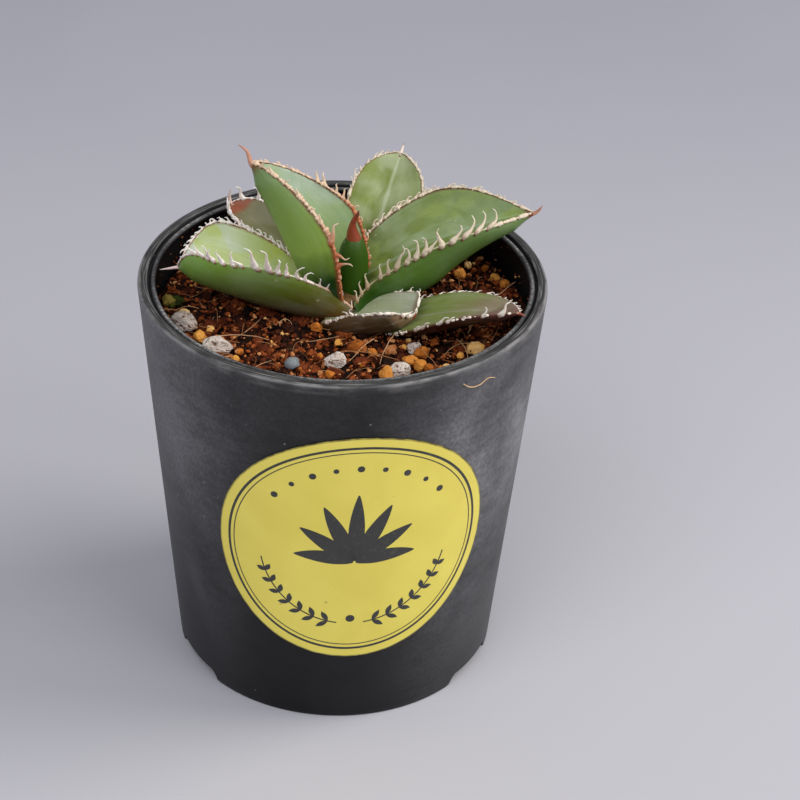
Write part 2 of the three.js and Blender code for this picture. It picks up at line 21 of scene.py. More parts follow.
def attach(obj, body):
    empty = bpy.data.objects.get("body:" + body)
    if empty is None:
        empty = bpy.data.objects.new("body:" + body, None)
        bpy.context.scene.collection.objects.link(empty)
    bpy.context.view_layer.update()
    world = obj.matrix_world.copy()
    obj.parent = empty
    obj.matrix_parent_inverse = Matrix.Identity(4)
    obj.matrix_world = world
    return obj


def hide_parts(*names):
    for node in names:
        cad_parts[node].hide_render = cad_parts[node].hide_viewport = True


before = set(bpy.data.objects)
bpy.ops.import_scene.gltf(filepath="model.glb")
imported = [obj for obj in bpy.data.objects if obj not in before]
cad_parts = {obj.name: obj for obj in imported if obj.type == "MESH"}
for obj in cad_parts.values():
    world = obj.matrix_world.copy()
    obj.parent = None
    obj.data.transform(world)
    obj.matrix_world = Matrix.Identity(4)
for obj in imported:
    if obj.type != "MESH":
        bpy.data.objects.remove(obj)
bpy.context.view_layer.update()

LOG = logging.getLogger("agave")
MM = 0.001
BODY = "root"

Colour = tuple[int, int, int]
Spot = tuple[float, float, float]
Points = np.ndarray
Frames = dict[str, Points]
Faces = list[list[int]]


# ---------------------------------------------------------------- numbers


def linear(colour: Colour) -> tuple[float, float, float, float]:
    """A screen colour, 0 to 255, as the linear values that shaders take.

    Args:
        colour: Red, green and blue as they look on a screen.

    Returns:
        Linear red, green and blue, and full opacity.
    """
    parts = [value / 255 for value in colour]
    red, green, blue = (
        part / 12.92 if part <= 0.04045 else ((part + 0.055) / 1.055) ** 2.4
        for part in parts
    )
    return red, green, blue, 1.0


def blend(low: float | Points, high: float | Points, share: float | Points) -> float | Points:
    """The value a share of the way from low to high."""
    return low + (high - low) * share


def ease(value: float | Points, low: float, high: float) -> float | Points:
    """A smooth step.

    Args:
        value: What is tested.
        low: Where the step starts from 0.
        high: Where it has reached 1.

    Returns:
        A value from 0 to 1.
    """
    part = np.clip((np.asarray(value, float) - low) / (high - low), 0, 1)
    return part * part * (3 - 2 * part)


def unit(vectors: Points) -> Points:
    """The vectors scaled to length 1."""
    return vectors / np.maximum(np.linalg.norm(vectors, axis=-1, keepdims=True), 1e-12)


def smooth_noise(points: Points, scale: float, shift: float = 0.0) -> Points:
    """Soft noise at points.

    Args:
        points: Places, in millimetres.
        scale: Bumps per millimetre.
        shift: Another number gives another pattern.

    Returns:
        A value from about -1 to 1 for each point.
    """
    moved = np.asarray(points, float) * scale + shift
    return np.array([noise.noise(Vector(point)) for point in moved])


# ---------------------------------------------------------------- meshes


class Shell:
    """The points and faces of one piece, in millimetres, with named values at each point."""

    def __init__(self, *names: str) -> None:
        """Starts an empty piece.

        Args:
            names: The values that each point carries for the finish.
        """
        self.points: list[Points] = []
        self.faces: Faces = []
        self.values: dict[str, list[Points]] = {name: [] for name in names}
        self.count = 0

    def add(self, points: Points, faces: Sequence[Sequence[int]], **values: float | Points) -> None:
        """Adds a form.

        Args:
            points: Its points, one row each.
            faces: Its faces, as places in points.
            values: A number or one number per point, for each named value.
        """
        self.points.append(points)
        self.faces.extend([[corner + self.count for corner in face] for face in faces])
        for name, stored in self.values.items():
            stored.append(np.broadcast_to(np.asarray(values.get(name, 0.0), float), len(points)))
        self.count += len(points)

    def loft(self, rings: Points, **values: float | Points) -> None:
        """Adds a closed form through rings of points.

        Args:
            rings: An array of rings, of points, of 3.
            values: A number, or an array of rings by points, for each named value.
        """
        steps, sides = rings.shape[:2]
        index = np.arange(steps * sides).reshape(steps, sides)
        turned = np.roll(index, -1, axis=1)
        quads = np.stack([index[:-1], turned[:-1], turned[1:], index[1:]], -1).reshape(-1, 4)
        flat = rings.reshape(-1, 3)
        centre = flat.mean(0)
        corner = flat[quads] - centre
        spat = np.cross(corner[:, 1] - corner[:, 0], corner[:, 2] - corner[:, 0])
        outward = (spat * corner.mean(1)).sum() > 0
        faces = quads.tolist() + [index[0][::-1].tolist(), index[-1].tolist()]
        if not outward:
            faces = [face[::-1] for face in faces]
        shaped = {
            name: np.broadcast_to(np.asarray(value, float), (steps, sides)).reshape(-1)
            for name, value in values.items()
        }
        self.add(flat, faces, **shaped)

    def thing(self, name: str) -> bpy.types.Object:
        """Makes a bare object.

        Args:
            name: Its name.

        Returns:
            The new object.
        """
        mesh = bpy.data.meshes.new(name)
        mesh.from_pydata((np.concatenate(self.points) * MM).tolist(), [], self.faces)
        for value_name, stored in self.values.items():
            attribute = mesh.attributes.new(value_name, "FLOAT", "POINT")
            attribute.data.foreach_set("value", np.concatenate(stored).astype(np.float32))
        return place_in_scene(name, mesh)

    def piece(self, name: str, finish: bpy.types.Material, stands_for: Sequence[str] = (),
              crisp: float = 40.0) -> bpy.types.Object:
        """Makes the object, puts it on the body and names what it stands for.

        Args:
            name: The piece's name.
            finish: Its material.
            stands_for: The nodes that it replaces.
            crisp: Edges sharper than this angle stay sharp.

        Returns:
            The new object.
        """
        thing = self.thing(name)
        thing.data.shade_smooth()
        thing.data.set_sharp_from_angle(angle=math.radians(crisp))
        thing.data.validate()
        thing.data.materials.append(finish)
        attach(thing, BODY)
        if stands_for:
            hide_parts(*stands_for)
        LOG.info("%s: %d points, stands for %s", name, len(thing.data.vertices), list(stands_for))
        return thing


def place_in_scene(name: str, data: bpy.types.ID) -> bpy.types.Object:
    """Makes an object that shows a mesh, a light or a camera.

    Args:
        name: Its name.
        data: What it shows.

    Returns:
        The new object.
    """
    thing = bpy.data.objects.new(name, data)
    bpy.context.scene.collection.objects.link(thing)
    return thing


def tube_rings(path: Points, radii: Points, sides: int, flat: float = 1.0,
               up: Points | Spot = (0.0, 0.0, 1.0)) -> Points:
    """Rings round a path.

    Args:
        path: Points of the middle line.
        radii: The radius at each.
        sides: Points in a ring.
        flat: How thick the ring is against how wide.
        up: The direction that the thickness is measured in, one for each point or one for all.

    Returns:
        An array of rings, of points, of 3.
    """
    heading = unit(np.gradient(path, axis=0))
    guide = np.broadcast_to(np.asarray(up, float), path.shape)
    steep = np.abs((heading * guide).sum(1)) > 0.97
    guide = np.where(steep[:, None], np.array([0.31, 0.95, 0.05]), guide)
    wide = unit(np.cross(guide, heading))
    thick = np.cross(heading, wide)
    turn = full_turn(sides)
    spread = wide[:, None] * np.cos(turn)[:, None] + thick[:, None] * (flat * np.sin(turn))[:, None]
    return path[:, None] + spread * np.asarray(radii)[:, None, None]


def full_turn(steps: int) -> Points:
    """Angles spread evenly round a circle, in radians."""
    return np.arange(steps) / steps * 2 * np.pi


def bezier(controls: Points, steps: int) -> Points:
    """Points on a cubic curve.

    Args:
        controls: Its four controls, of which it passes the first and the last.
        steps: How many points are wanted.

    Returns:
        The points.
    """
    part = np.linspace(0, 1, steps)[:, None]
    a, b, c, d = controls
    return (1 - part) ** 3 * a + 3 * (1 - part) ** 2 * part * b + 3 * (1 - part) * part**2 * c + part**3 * d


def smooth_path(controls: Points, steps: int) -> Points:
    """Points on a smooth curve through all its controls.

    Args:
        controls: Points that it passes.
        steps: How many points are wanted.

    Returns:
        The points, evenly spread.
    """
    knots = np.concatenate([[0], np.cumsum(np.linalg.norm(np.diff(controls, axis=0), axis=1))])
    tangents = np.gradient(controls, knots, axis=0)
    wanted = np.linspace(0, knots[-1], steps)
    k = np.clip(np.searchsorted(knots, wanted, "right") - 1, 0, len(knots) - 2)
    gap = (knots[k + 1] - knots[k])[:, None]
    p = (wanted - knots[k])[:, None] / gap
    start = (2 * p**3 - 3 * p**2 + 1) * controls[k] + (p**3 - 2 * p**2 + p) * gap * tangents[k]
    return start + (3 * p**2 - 2 * p**3) * controls[k + 1] + (p**3 - p**2) * gap * tangents[k + 1]


def ball(level: int) -> tuple[Points, Faces]:
    """A round form of even triangles.

    Args:
        level: How often its 20 faces are divided, from 1.

    Returns:
        Its points at radius 1, and its faces.
    """
    form = bmesh.new()
    bmesh.ops.create_icosphere(form, subdivisions=level, radius=1.0)
    points = np.array([vertex.co[:] for vertex in form.verts])
    faces = [[vertex.index for vertex in face.verts] for face in form.faces]
    form.free()
    return points, faces


# ---------------------------------------------------------------- shader trees


class Field:
    """A number or colour that varies over a surface: one socket of a tree, with sums as operators."""

    def __init__(self, graph: Graph, socket: bpy.types.NodeSocket) -> None:
        """Takes the tree and the socket."""
        self.graph = graph
        self.socket = socket

    def __add__(self, other: float | Field) -> Field:
        """This and another added."""
        return self.graph.math("ADD", self, other)

    def __sub__(self, other: float | Field) -> Field:
        """This less another."""
        return self.graph.math("SUBTRACT", self, other)

    def __rsub__(self, other: float) -> Field:
        """A number less this."""
        return self.graph.math("SUBTRACT", other, self)

    def __mul__(self, other: float | Field) -> Field:
        """This times another."""
        return self.graph.math("MULTIPLY", self, other)

    def __abs__(self) -> Field:
        """This without its sign."""
        return self.graph.math("ABSOLUTE", self)

    def step(self, low: float | Field, high: float | Field, start: float | Field = 0.0,
             end: float = 1.0) -> Field:
        """A smooth step from start, where this is low, to end, where it is high."""
        values = {"Value": self, "From Min": low, "From Max": high, "To Min": start, "To Max": end}
        return self.graph.add("MapRange", "Result", values, interpolation_type="SMOOTHSTEP")


class Graph:
    """Short ways to add and join the nodes of one tree."""

    def __init__(self, tree: bpy.types.NodeTree) -> None:
        """Works on a tree."""
        self.tree = tree

    def feed(self, socket: bpy.types.NodeSocket, value: float | Colour | Field | None) -> None:
        """Links a socket or sets its value.

        Args:
            socket: The input.
            value: A field that is linked, or a plain value that is set; None leaves the input as it is.
        """
        if isinstance(value, Field):
            self.tree.links.new(value.socket, socket)
        elif isinstance(value, tuple):
            socket.default_value = linear(value)
        elif value is not None:
            socket.default_value = value

    def node(self, kind: str, values: dict[str | int, object] | None = None,
             **settings: object) -> bpy.types.Node:
        """Adds a node.

        Args:
            kind: Its type, without the leading "ShaderNode".
            values: What its inputs are set or linked to.
            settings: Its own options.

        Returns:
            The node.
        """
        made = self.tree.nodes.new("ShaderNode" + kind)
        for name, value in settings.items():
            setattr(made, name, value)
        for key, value in (values or {}).items():
            self.feed(made.inputs[key], value)
        return made

    def add(self, kind: str, output: str | int, values: dict[str | int, object] | None = None,
            **settings: object) -> Field:
        """One output of a new node, which is made as node() says."""
        return Field(self, self.node(kind, values, **settings).outputs[output])

    def split(self, kind: str, values: dict[str | int, object], *outputs: str) -> list[Field]:
        """Several outputs of one new node, which is made as node() says."""
        made = self.node(kind, values)
        return [Field(self, made.outputs[name]) for name in outputs]

    def place(self) -> Field:
        """Where a point of the surface lies, in metres."""
        return self.add("TexCoord", "Object")

    def value(self, name: str) -> Field:
        """A value that the mesh carries at its points."""
        return self.add("Attribute", "Fac", attribute_name=name)

    def noise(self, scale: float | Field, detail: float, vector: Field | None = None,
              distortion: float = 0.0) -> Field:
        """Cloudy noise from 0 to 1, with scale bumps per metre."""
        where = vector or self.place()
        return self.add("TexNoise", "Fac", {
            "Vector": where, "Scale": scale, "Detail": detail, "Distortion": distortion,
        })

    def math(self, operation: str, first: float | Field, second: float | Field | None = None) -> Field:
        """The result of one sum."""
        return self.add("Math", 0, {0: first, 1: second}, operation=operation)

    def mix(self, share: float | Field, low: Colour | Field, high: Colour | Field, how: str = "MIX") -> Field:
        """One colour between two, or one laid over the other."""
        return self.add("Mix", 2, {0: share, 6: low, 7: high}, data_type="RGBA", blend_type=how)

    def shaded(self, colour: Field, shade: Field) -> Field:
        """A colour made lighter or darker by a factor."""
        grey = self.add("CombineColor", 0, {0: shade, 1: shade, 2: shade})
        return self.mix(1.0, colour, grey, "MULTIPLY")

    def ramp(self, value: Field, stops: Iterable[tuple[float, Colour]]) -> Field:
        """A colour for each value.

        Args:
            value: What picks the colour.
            stops: Values and their colours, in order; between them the colours blend.

        Returns:
            The colour.
        """
        node = self.node("ValToRGB", {0: value})
        elements = node.color_ramp.elements
        for k, (position, colour) in enumerate(stops):
            element = elements[k] if k < len(elements) else elements.new(position)
            element.position = position
            element.color = linear(colour)
        return Field(self, node.outputs["Color"])


def fill_mottle(graph: Graph, given: dict[str, Field]) -> Field:
    """Soft blotches of one colour over another.

    Args:
        graph: The group's tree.
        given: Its inputs.

    Returns:
        The colour.
    """
    clouds = graph.noise(given["Scale"], 4.0, distortion=0.6)
    half = given["Softness"] * 0.5
    blotches = clouds.step(given["Level"] - half, given["Level"] + half)
    return graph.mix(blotches * given["Amount"], given["Base"], given["Blotch"])


def fill_grain(graph: Graph, given: dict[str, Field]) -> Field:
    """Height of a rough surface: broad swells with fine grain on them.

    Args:
        graph: The group's tree.
        given: Its inputs.

    Returns:
        The height.
    """
    broad = graph.noise(given["Scale"], 3.0)
    fine = graph.noise(given["Scale"] * 5.3, 4.0)
    return broad + fine * given["Fine share"]


def fill_dust(graph: Graph, given: dict[str, Field]) -> Field:
    """Where dust lies: in clouds, and more on what faces up.

    Args:
        graph: The group's tree.
        given: Its inputs.

    Returns:
        The share of dust.
    """
    clouds = graph.noise(given["Scale"], 6.0, distortion=0.4).step(0.35, 0.8)
    (upward,) = graph.split("SeparateXYZ", {0: graph.add("NewGeometry", "Normal")}, "Z")
    return clouds * upward.step(-0.2, 1.0, 1.0 - given["Settling"]) * given["Amount"]


def fill_specks(graph: Graph, given: dict[str, Field]) -> Field:
    """Small round specks, scattered, of uneven size.

    Args:
        graph: The group's tree.
        given: Its inputs.

    Returns:
        1 inside a speck.
    """
    values = {"Vector": graph.place(), "Scale": given["Scale"]}
    cell, distance = graph.split("TexVoronoi", values, "Color", "Distance")
    red, green = graph.split("SeparateColor", {0: cell}, "Red", "Green")
    chosen = graph.math("GREATER_THAN", red, 1.0 - given["Share"])
    return (green * given["Size"] - distance).step(0.0, 0.05) * chosen


def fill_fibres(graph: Graph, given: dict[str, Field]) -> Field:
    """Fine lines that run along a leaf or a thorn.

    Args:
        graph: The group's tree.
        given: Its inputs.

    Returns:
        Noise from 0 to 1 that is drawn out along the lines.
    """
    spread, run = given["Across"] * given["Lines"], given["Along"] * given["Run"]
    return graph.noise(1.0, 3.0, graph.add("CombineXYZ", 0, {0: spread, 1: run, 2: given["Seed"]}))


@dataclass(frozen=True)
class EffectPlan:
    """A shared effect: its name, its one output, what lays its nodes, and its inputs with their defaults."""

    name: str
    output: str
    fill: Callable[[Graph, dict[str, Field]], Field]
    inputs: dict[str, float | Colour]


class Effect(Enum):
    """The effects that several finishes share, each built once as a node group."""

    MOTTLE = EffectPlan("Mottle", "Color", fill_mottle, {
        "Base": (255, 255, 255), "Blotch": (0, 0, 0), "Scale": 100.0, "Level": 0.5, "Softness": 0.2,
        "Amount": 1.0,
    })
    GRAIN = EffectPlan("Grain", "Height", fill_grain, {"Scale": 500.0, "Fine share": 0.4})
    DUST = EffectPlan("Dust", "Mask", fill_dust, {"Scale": 60.0, "Amount": 0.5, "Settling": 0.5})
    SPECKS = EffectPlan("Specks", "Mask", fill_specks, {"Scale": 400.0, "Share": 0.1, "Size": 0.3})
    FIBRES = EffectPlan("Fibre lines", "Mask", fill_fibres, {
        "Along": 0.0, "Across": 0.0, "Lines": 30.0, "Run": 3.0, "Seed": 0.0,
    })

    def tree(self) -> bpy.types.NodeTree:
        """The node group, built the first time it is asked for.

        Returns:
            The group.
        """
        plan = self.value
        found = bpy.data.node_groups.get(plan.name)
        if found:
            return found
        tree = bpy.data.node_groups.new(plan.name, "ShaderNodeTree")
        for name, start in plan.inputs.items():
            kind = "NodeSocketColor" if isinstance(start, tuple) else "NodeSocketFloat"
            socket = tree.interface.new_socket(name, in_out="INPUT", socket_type=kind)
            socket.default_value = linear(start) if isinstance(start, tuple) else start
        kind = "NodeSocketColor" if plan.output == "Color" else "NodeSocketFloat"
        tree.interface.new_socket(plan.output, in_out="OUTPUT", socket_type=kind)
        graph = Graph(tree)
        entry = tree.nodes.new("NodeGroupInput").outputs
        result = plan.fill(graph, {name: Field(graph, entry[name]) for name in plan.inputs})
        graph.feed(tree.nodes.new("NodeGroupOutput").inputs[plan.output], result)
        return tree


class Finish:
    """One material under construction: a tree with a Principled shader at its end."""

    def __init__(self, name: str) -> None:
        """Starts a material.

        Args:
            name: What it is called.
        """
        self.material = bpy.data.materials.new(name)
        self.material.use_nodes = True
        self.graph = Graph(self.material.node_tree)
        self.shader = self.material.node_tree.nodes["Principled BSDF"]

    def effect(self, effect: Effect, **values: float | Colour | Field) -> Field:
        """Places a shared effect.

        Args:
            effect: Which one.
            values: Its inputs, with "_" for a space.

        Returns:
            Its output.
        """
        group = self.graph.node("Group", node_tree=effect.tree())
        for name, value in values.items():
            self.graph.feed(group.inputs[name.replace("_", " ")], value)
        return Field(self.graph, group.outputs[0])

    def set(self, **values: float | Field) -> None:
        """Sets or links the shader's own sockets, with "_" for a space in their names."""
        for name, value in values.items():
            self.graph.feed(self.shader.inputs[name.replace("_", " ")], value)

    def bump(self, height: Field, depth: float, strength: float = 1.0, below: Field | None = None) -> Field:
        """Turns a height into a normal.

        Args:
            height: The height, from 0 to 1.
            depth: What a height of 1 stands for, in millimetres.
            strength: How strongly it shows.
            below: A normal that it is laid on.

        Returns:
            The normal.
        """
        values = {"Height": height, "Distance": depth * MM, "Strength": strength, "Normal": below}
        return self.graph.add("Bump", 0, values)


# ---------------------------------------------------------------- camera, floor and light


@dataclass(frozen=True)
class Viewpoint:
    """The camera: its place round the pot, and how it is turned there."""

    distance: float = 539.0
    elevation: float = 34.6
    aim_height: float = 47.5
    yaw: float = 1.47
    pitch: float = 1.35
    roll: float = -1.37
    lens: float = 105.0
    sensor: float = 36.0

    def build(self) -> None:
        """Makes the camera and hands it to the scene."""
        rise, yaw, pitch, roll = np.radians([self.elevation, self.yaw, self.pitch, self.roll])
        back = np.array([0.0, -math.cos(rise), math.sin(rise)])
        right = np.array([1.0, 0.0, 0.0])
        axes = np.stack([right, np.cross(back, right), -back])
        turned = Matrix.Rotation(pitch, 3, "X") @ Matrix.Rotation(-yaw, 3, "Y")
        right, up, ahead = np.array(Matrix.Rotation(roll, 3, "Z") @ turned) @ axes
        place = (back * self.distance + np.array([0, 0, self.aim_height])) * MM
        data = bpy.data.cameras.new("Camera")
        data.lens = self.lens
        data.sensor_width = self.sensor
        data.clip_start = 0.01
        camera = place_in_scene("Camera", data)
        camera.matrix_world = Matrix([*zip(right, up, -ahead, place), (0.0, 0.0, 0.0, 1.0)])
        bpy.context.scene.camera = camera


@dataclass(frozen=True)
class SoftLight:
    """One softbox: where it stands, what it aims at, its size and power in watts."""

    name: str
    place: Spot
    aim: Spot
    width: float
    power: float
    colour: Colour

    def build(self) -> None:
        """Makes the light."""
        data = bpy.data.lights.new(self.name, "AREA")
        data.shape = "DISK"
        data.size = self.width
        data.energy = self.power
        data.color = linear(self.colour)[:3]
        lamp = place_in_scene(self.name, data)
        lamp.location = Vector(self.place)
        lamp.rotation_mode = "QUATERNION"
        lamp.rotation_quaternion = (Vector(self.aim) - Vector(self.place)).to_track_quat("-Z", "Y")


@dataclass(frozen=True)
class Studio:
    """A plain pale floor under soft light, with painted shade that darkens it towards the back. Places are in
    metres.
    """

    floor_half: float = 4.0
    floor_near: Colour = (188, 187, 192)
    # The far colour and painted_falloff, its span in metres, are painted shade: the floor darkens towards the
    # back to stand for the light falling off.
    floor_far_painted_shade: Colour = (163, 163, 173)
    floor_blotch: Colour = (182, 181, 186)
    painted_falloff: tuple[float, float] = (-0.02, 0.42)
    sky_colour: Colour = (198, 200, 210)
    sky_strength: float = 0.6
    lights: tuple[SoftLight, ...] = (
        SoftLight("Window", (1.62, 0.17, 1.56), (0.0, 0.0, 0.05), 1.3, 30.2, (255, 252, 246)),
        SoftLight("Room", (0.92, -0.80, 0.95), (0.0, -0.05, 0.03), 0.9, 6.0, (252, 252, 255)),
        SoftLight("Overhead", (-0.34, -0.66, 0.94), (0.0, -0.12, 0.0), 0.8, 5.2, (250, 251, 255)),
    )

    def build(self) -> None:
        """Makes the floor, the lights and the sky."""
        self.floor()
        for light in self.lights:
            light.build()
        view = bpy.context.scene.view_settings
        view.view_transform, view.look = "Standard", "None"
        world = bpy.data.worlds.new("Soft sky")
        world.use_nodes = True
        sky = world.node_tree.nodes["Background"]
        sky.inputs["Color"].default_value = linear(self.sky_colour)
        sky.inputs["Strength"].default_value = self.sky_strength
        bpy.context.scene.world = world

    def floor(self) -> None:
        """Makes the floor, darker towards the back by painted shade where the light falls off."""
        half = self.floor_half
        mesh = bpy.data.meshes.new("Floor")
        corners = [(-half, -half, 0), (half, -half, 0), (half, half, 0), (-half, half, 0)]
        mesh.from_pydata(corners, [], [range(4)])
        finish = Finish("Floor paper")
        graph = finish.graph
        (back,) = graph.split("SeparateXYZ", {0: graph.place()}, "Y")
        # Painted shade: the paper's colour darkens from near to far to stand for the light's falloff.
        paper = graph.mix(back.step(*self.painted_falloff), self.floor_near, self.floor_far_painted_shade)
        colour = finish.effect(Effect.MOTTLE, Base=paper, Blotch=self.floor_blotch, Scale=6.0, Amount=0.15)
        grain = finish.effect(Effect.GRAIN, Scale=900.0)
        finish.set(Base_Color=colour, Roughness=0.65, Normal=finish.bump(grain, 0.02, 0.3))
        mesh.materials.append(finish.material)
        place_in_scene("Floor", mesh)


# ---------------------------------------------------------------- pot


@dataclass(frozen=True)
class PotPlastic:
    """Black moulded plastic, scuffed, with grey dust and a painted sheen at the sides, worn rim corners
    with a painted highlight, and chalk on the inner bead.

    dust_and_sheen_right and dust_and_sheen_left are how thick the grey lies on the two sides, partly dust
    and partly a painted sheen where the wall turns away from the camera; film_high is how thick the dust lies
    near the rim.
    """

    body: Colour = (13, 13, 15)
    faded: Colour = (25, 25, 27)
    # dust: the grey of real dust and of the painted sheen at the wall's two sides.
    dust: Colour = (150, 149, 152)
    speck: Colour = (150, 146, 138)
    rim_dust: Colour = (146, 143, 140)
    # Light grey for wear on the rim's corners and for a painted highlight along the rounded lip.
    corner_wear_and_highlight: Colour = (146, 144, 142)
    chalk: Colour = (186, 184, 182)
    dust_and_sheen_right: tuple[float, float] = (0.80, 0.40)
    dust_and_sheen_left: float = 0.48
    film_high: float = 0.1

    def dust_and_sheen(self, graph: Graph) -> Field:
        """Share of grey on the wall: cloudy, wiped in level strokes, thicker at the two sides, where it is
        partly dust and partly a painted sheen, and thinner towards the foot.

        Args:
            graph: The material's tree.

        Returns:
            The share.
        """
        x, y, z = graph.split("SeparateXYZ", {0: graph.place()}, "X", "Y", "Z")
        around = graph.math("ARCTAN2", y, x) * 6.0
        strokes = graph.noise(1.0, 6.0, graph.add("CombineXYZ", 0, {0: around, 1: z * 420.0}), 0.4)
        clouds = graph.noise(38.0, 9.0, distortion=0.5)
        grain = graph.noise(1300.0, 4.0).step(0.3, 0.7, 0.72, 1.15)
        cover = (clouds * 0.75 + strokes * 0.25).step(0.28, 0.68, 0.25, 1.0) * grain
        # Painted sheen: the grey is thicker at the two sides, where the wall turns away from the camera,
        # standing for the reflection there as well as for dust.
        right = x.step(0.004, 0.034) * z.step(0.074, 0.090, *self.dust_and_sheen_right)
        left = (x * -1.0).step(0.012, 0.038, 0.0, self.dust_and_sheen_left)
        high = z.step(0.050, 0.088, 0.03, self.film_high)
        return cover * (right + left + high) * z.step(0.006, 0.062, 0.2, 1.0) * graph.value("outside")

    def ring_lines(self, graph: Graph) -> Field:
        """Fine broken lines that run round the rim.

        Args:
            graph: The material's tree.

        Returns:
            Noise from 0 to 1 that is drawn out round the pot.
        """
        x, y = graph.split("SeparateXYZ", {0: graph.place()}, "X", "Y")
        around = graph.math("ARCTAN2", y, x) * 5.0
        outward = graph.math("SQRT", x * x + y * y) * 3800.0
        return graph.noise(1.0, 4.0, graph.add("CombineXYZ", 0, {0: outward, 1: around}))

    def build(self) -> bpy.types.Material:
        """Makes the material.

        Returns:
            The material.
        """
        finish = Finish("Pot plastic")
        graph = finish.graph
        bead, rim, corner = graph.value("bead"), graph.value("rim"), graph.value("corner")
        dust_and_sheen, lines = self.dust_and_sheen(graph), self.ring_lines(graph)
        colour = finish.effect(
            Effect.MOTTLE, Base=self.body, Blotch=self.faded, Scale=60.0, Softness=0.4, Amount=0.8
        )
        # Lays on the grey of dust and of the painted sheen at the sides.
        colour = graph.mix(dust_and_sheen, colour, self.dust)
        specks = finish.effect(Effect.SPECKS, Scale=620.0, Share=0.05, Size=0.22)
        colour = graph.mix(specks * 0.45, colour, self.speck)
        colour = graph.mix(rim * lines.step(0.46, 0.70, 0.08, 0.62), colour, self.rim_dust)
        # Painted highlight: broken light grey along the rim's corners, partly wear and partly the highlight
        # on the rounded lip.
        worn = graph.noise(150.0, 6.0, distortion=0.5).step(0.42, 0.62, 0.06, 0.7)
        colour = graph.mix(corner * worn, colour, self.corner_wear_and_highlight)
        fine = graph.noise(1300.0, 6.0, distortion=0.5).step(0.3, 0.72, 0.2, 0.72)
        patchy = fine * graph.noise(60.0, 3.0).step(0.36, 0.6, 0.3, 1.0)
        colour = graph.mix(bead * patchy * lines.step(0.3, 0.55, 0.5, 1.0), colour, self.chalk)
        normal = finish.bump(finish.effect(Effect.GRAIN, Scale=700.0, Fine_share=0.5), 0.05, 0.35)
        normal = finish.bump(lines * (rim + bead), 0.08, 0.3, normal)
        finish.set(Base_Color=colour, Roughness=dust_and_sheen * 0.5 + 0.42, Normal=normal, Specular_IOR_Level=0.22)
        return finish.material


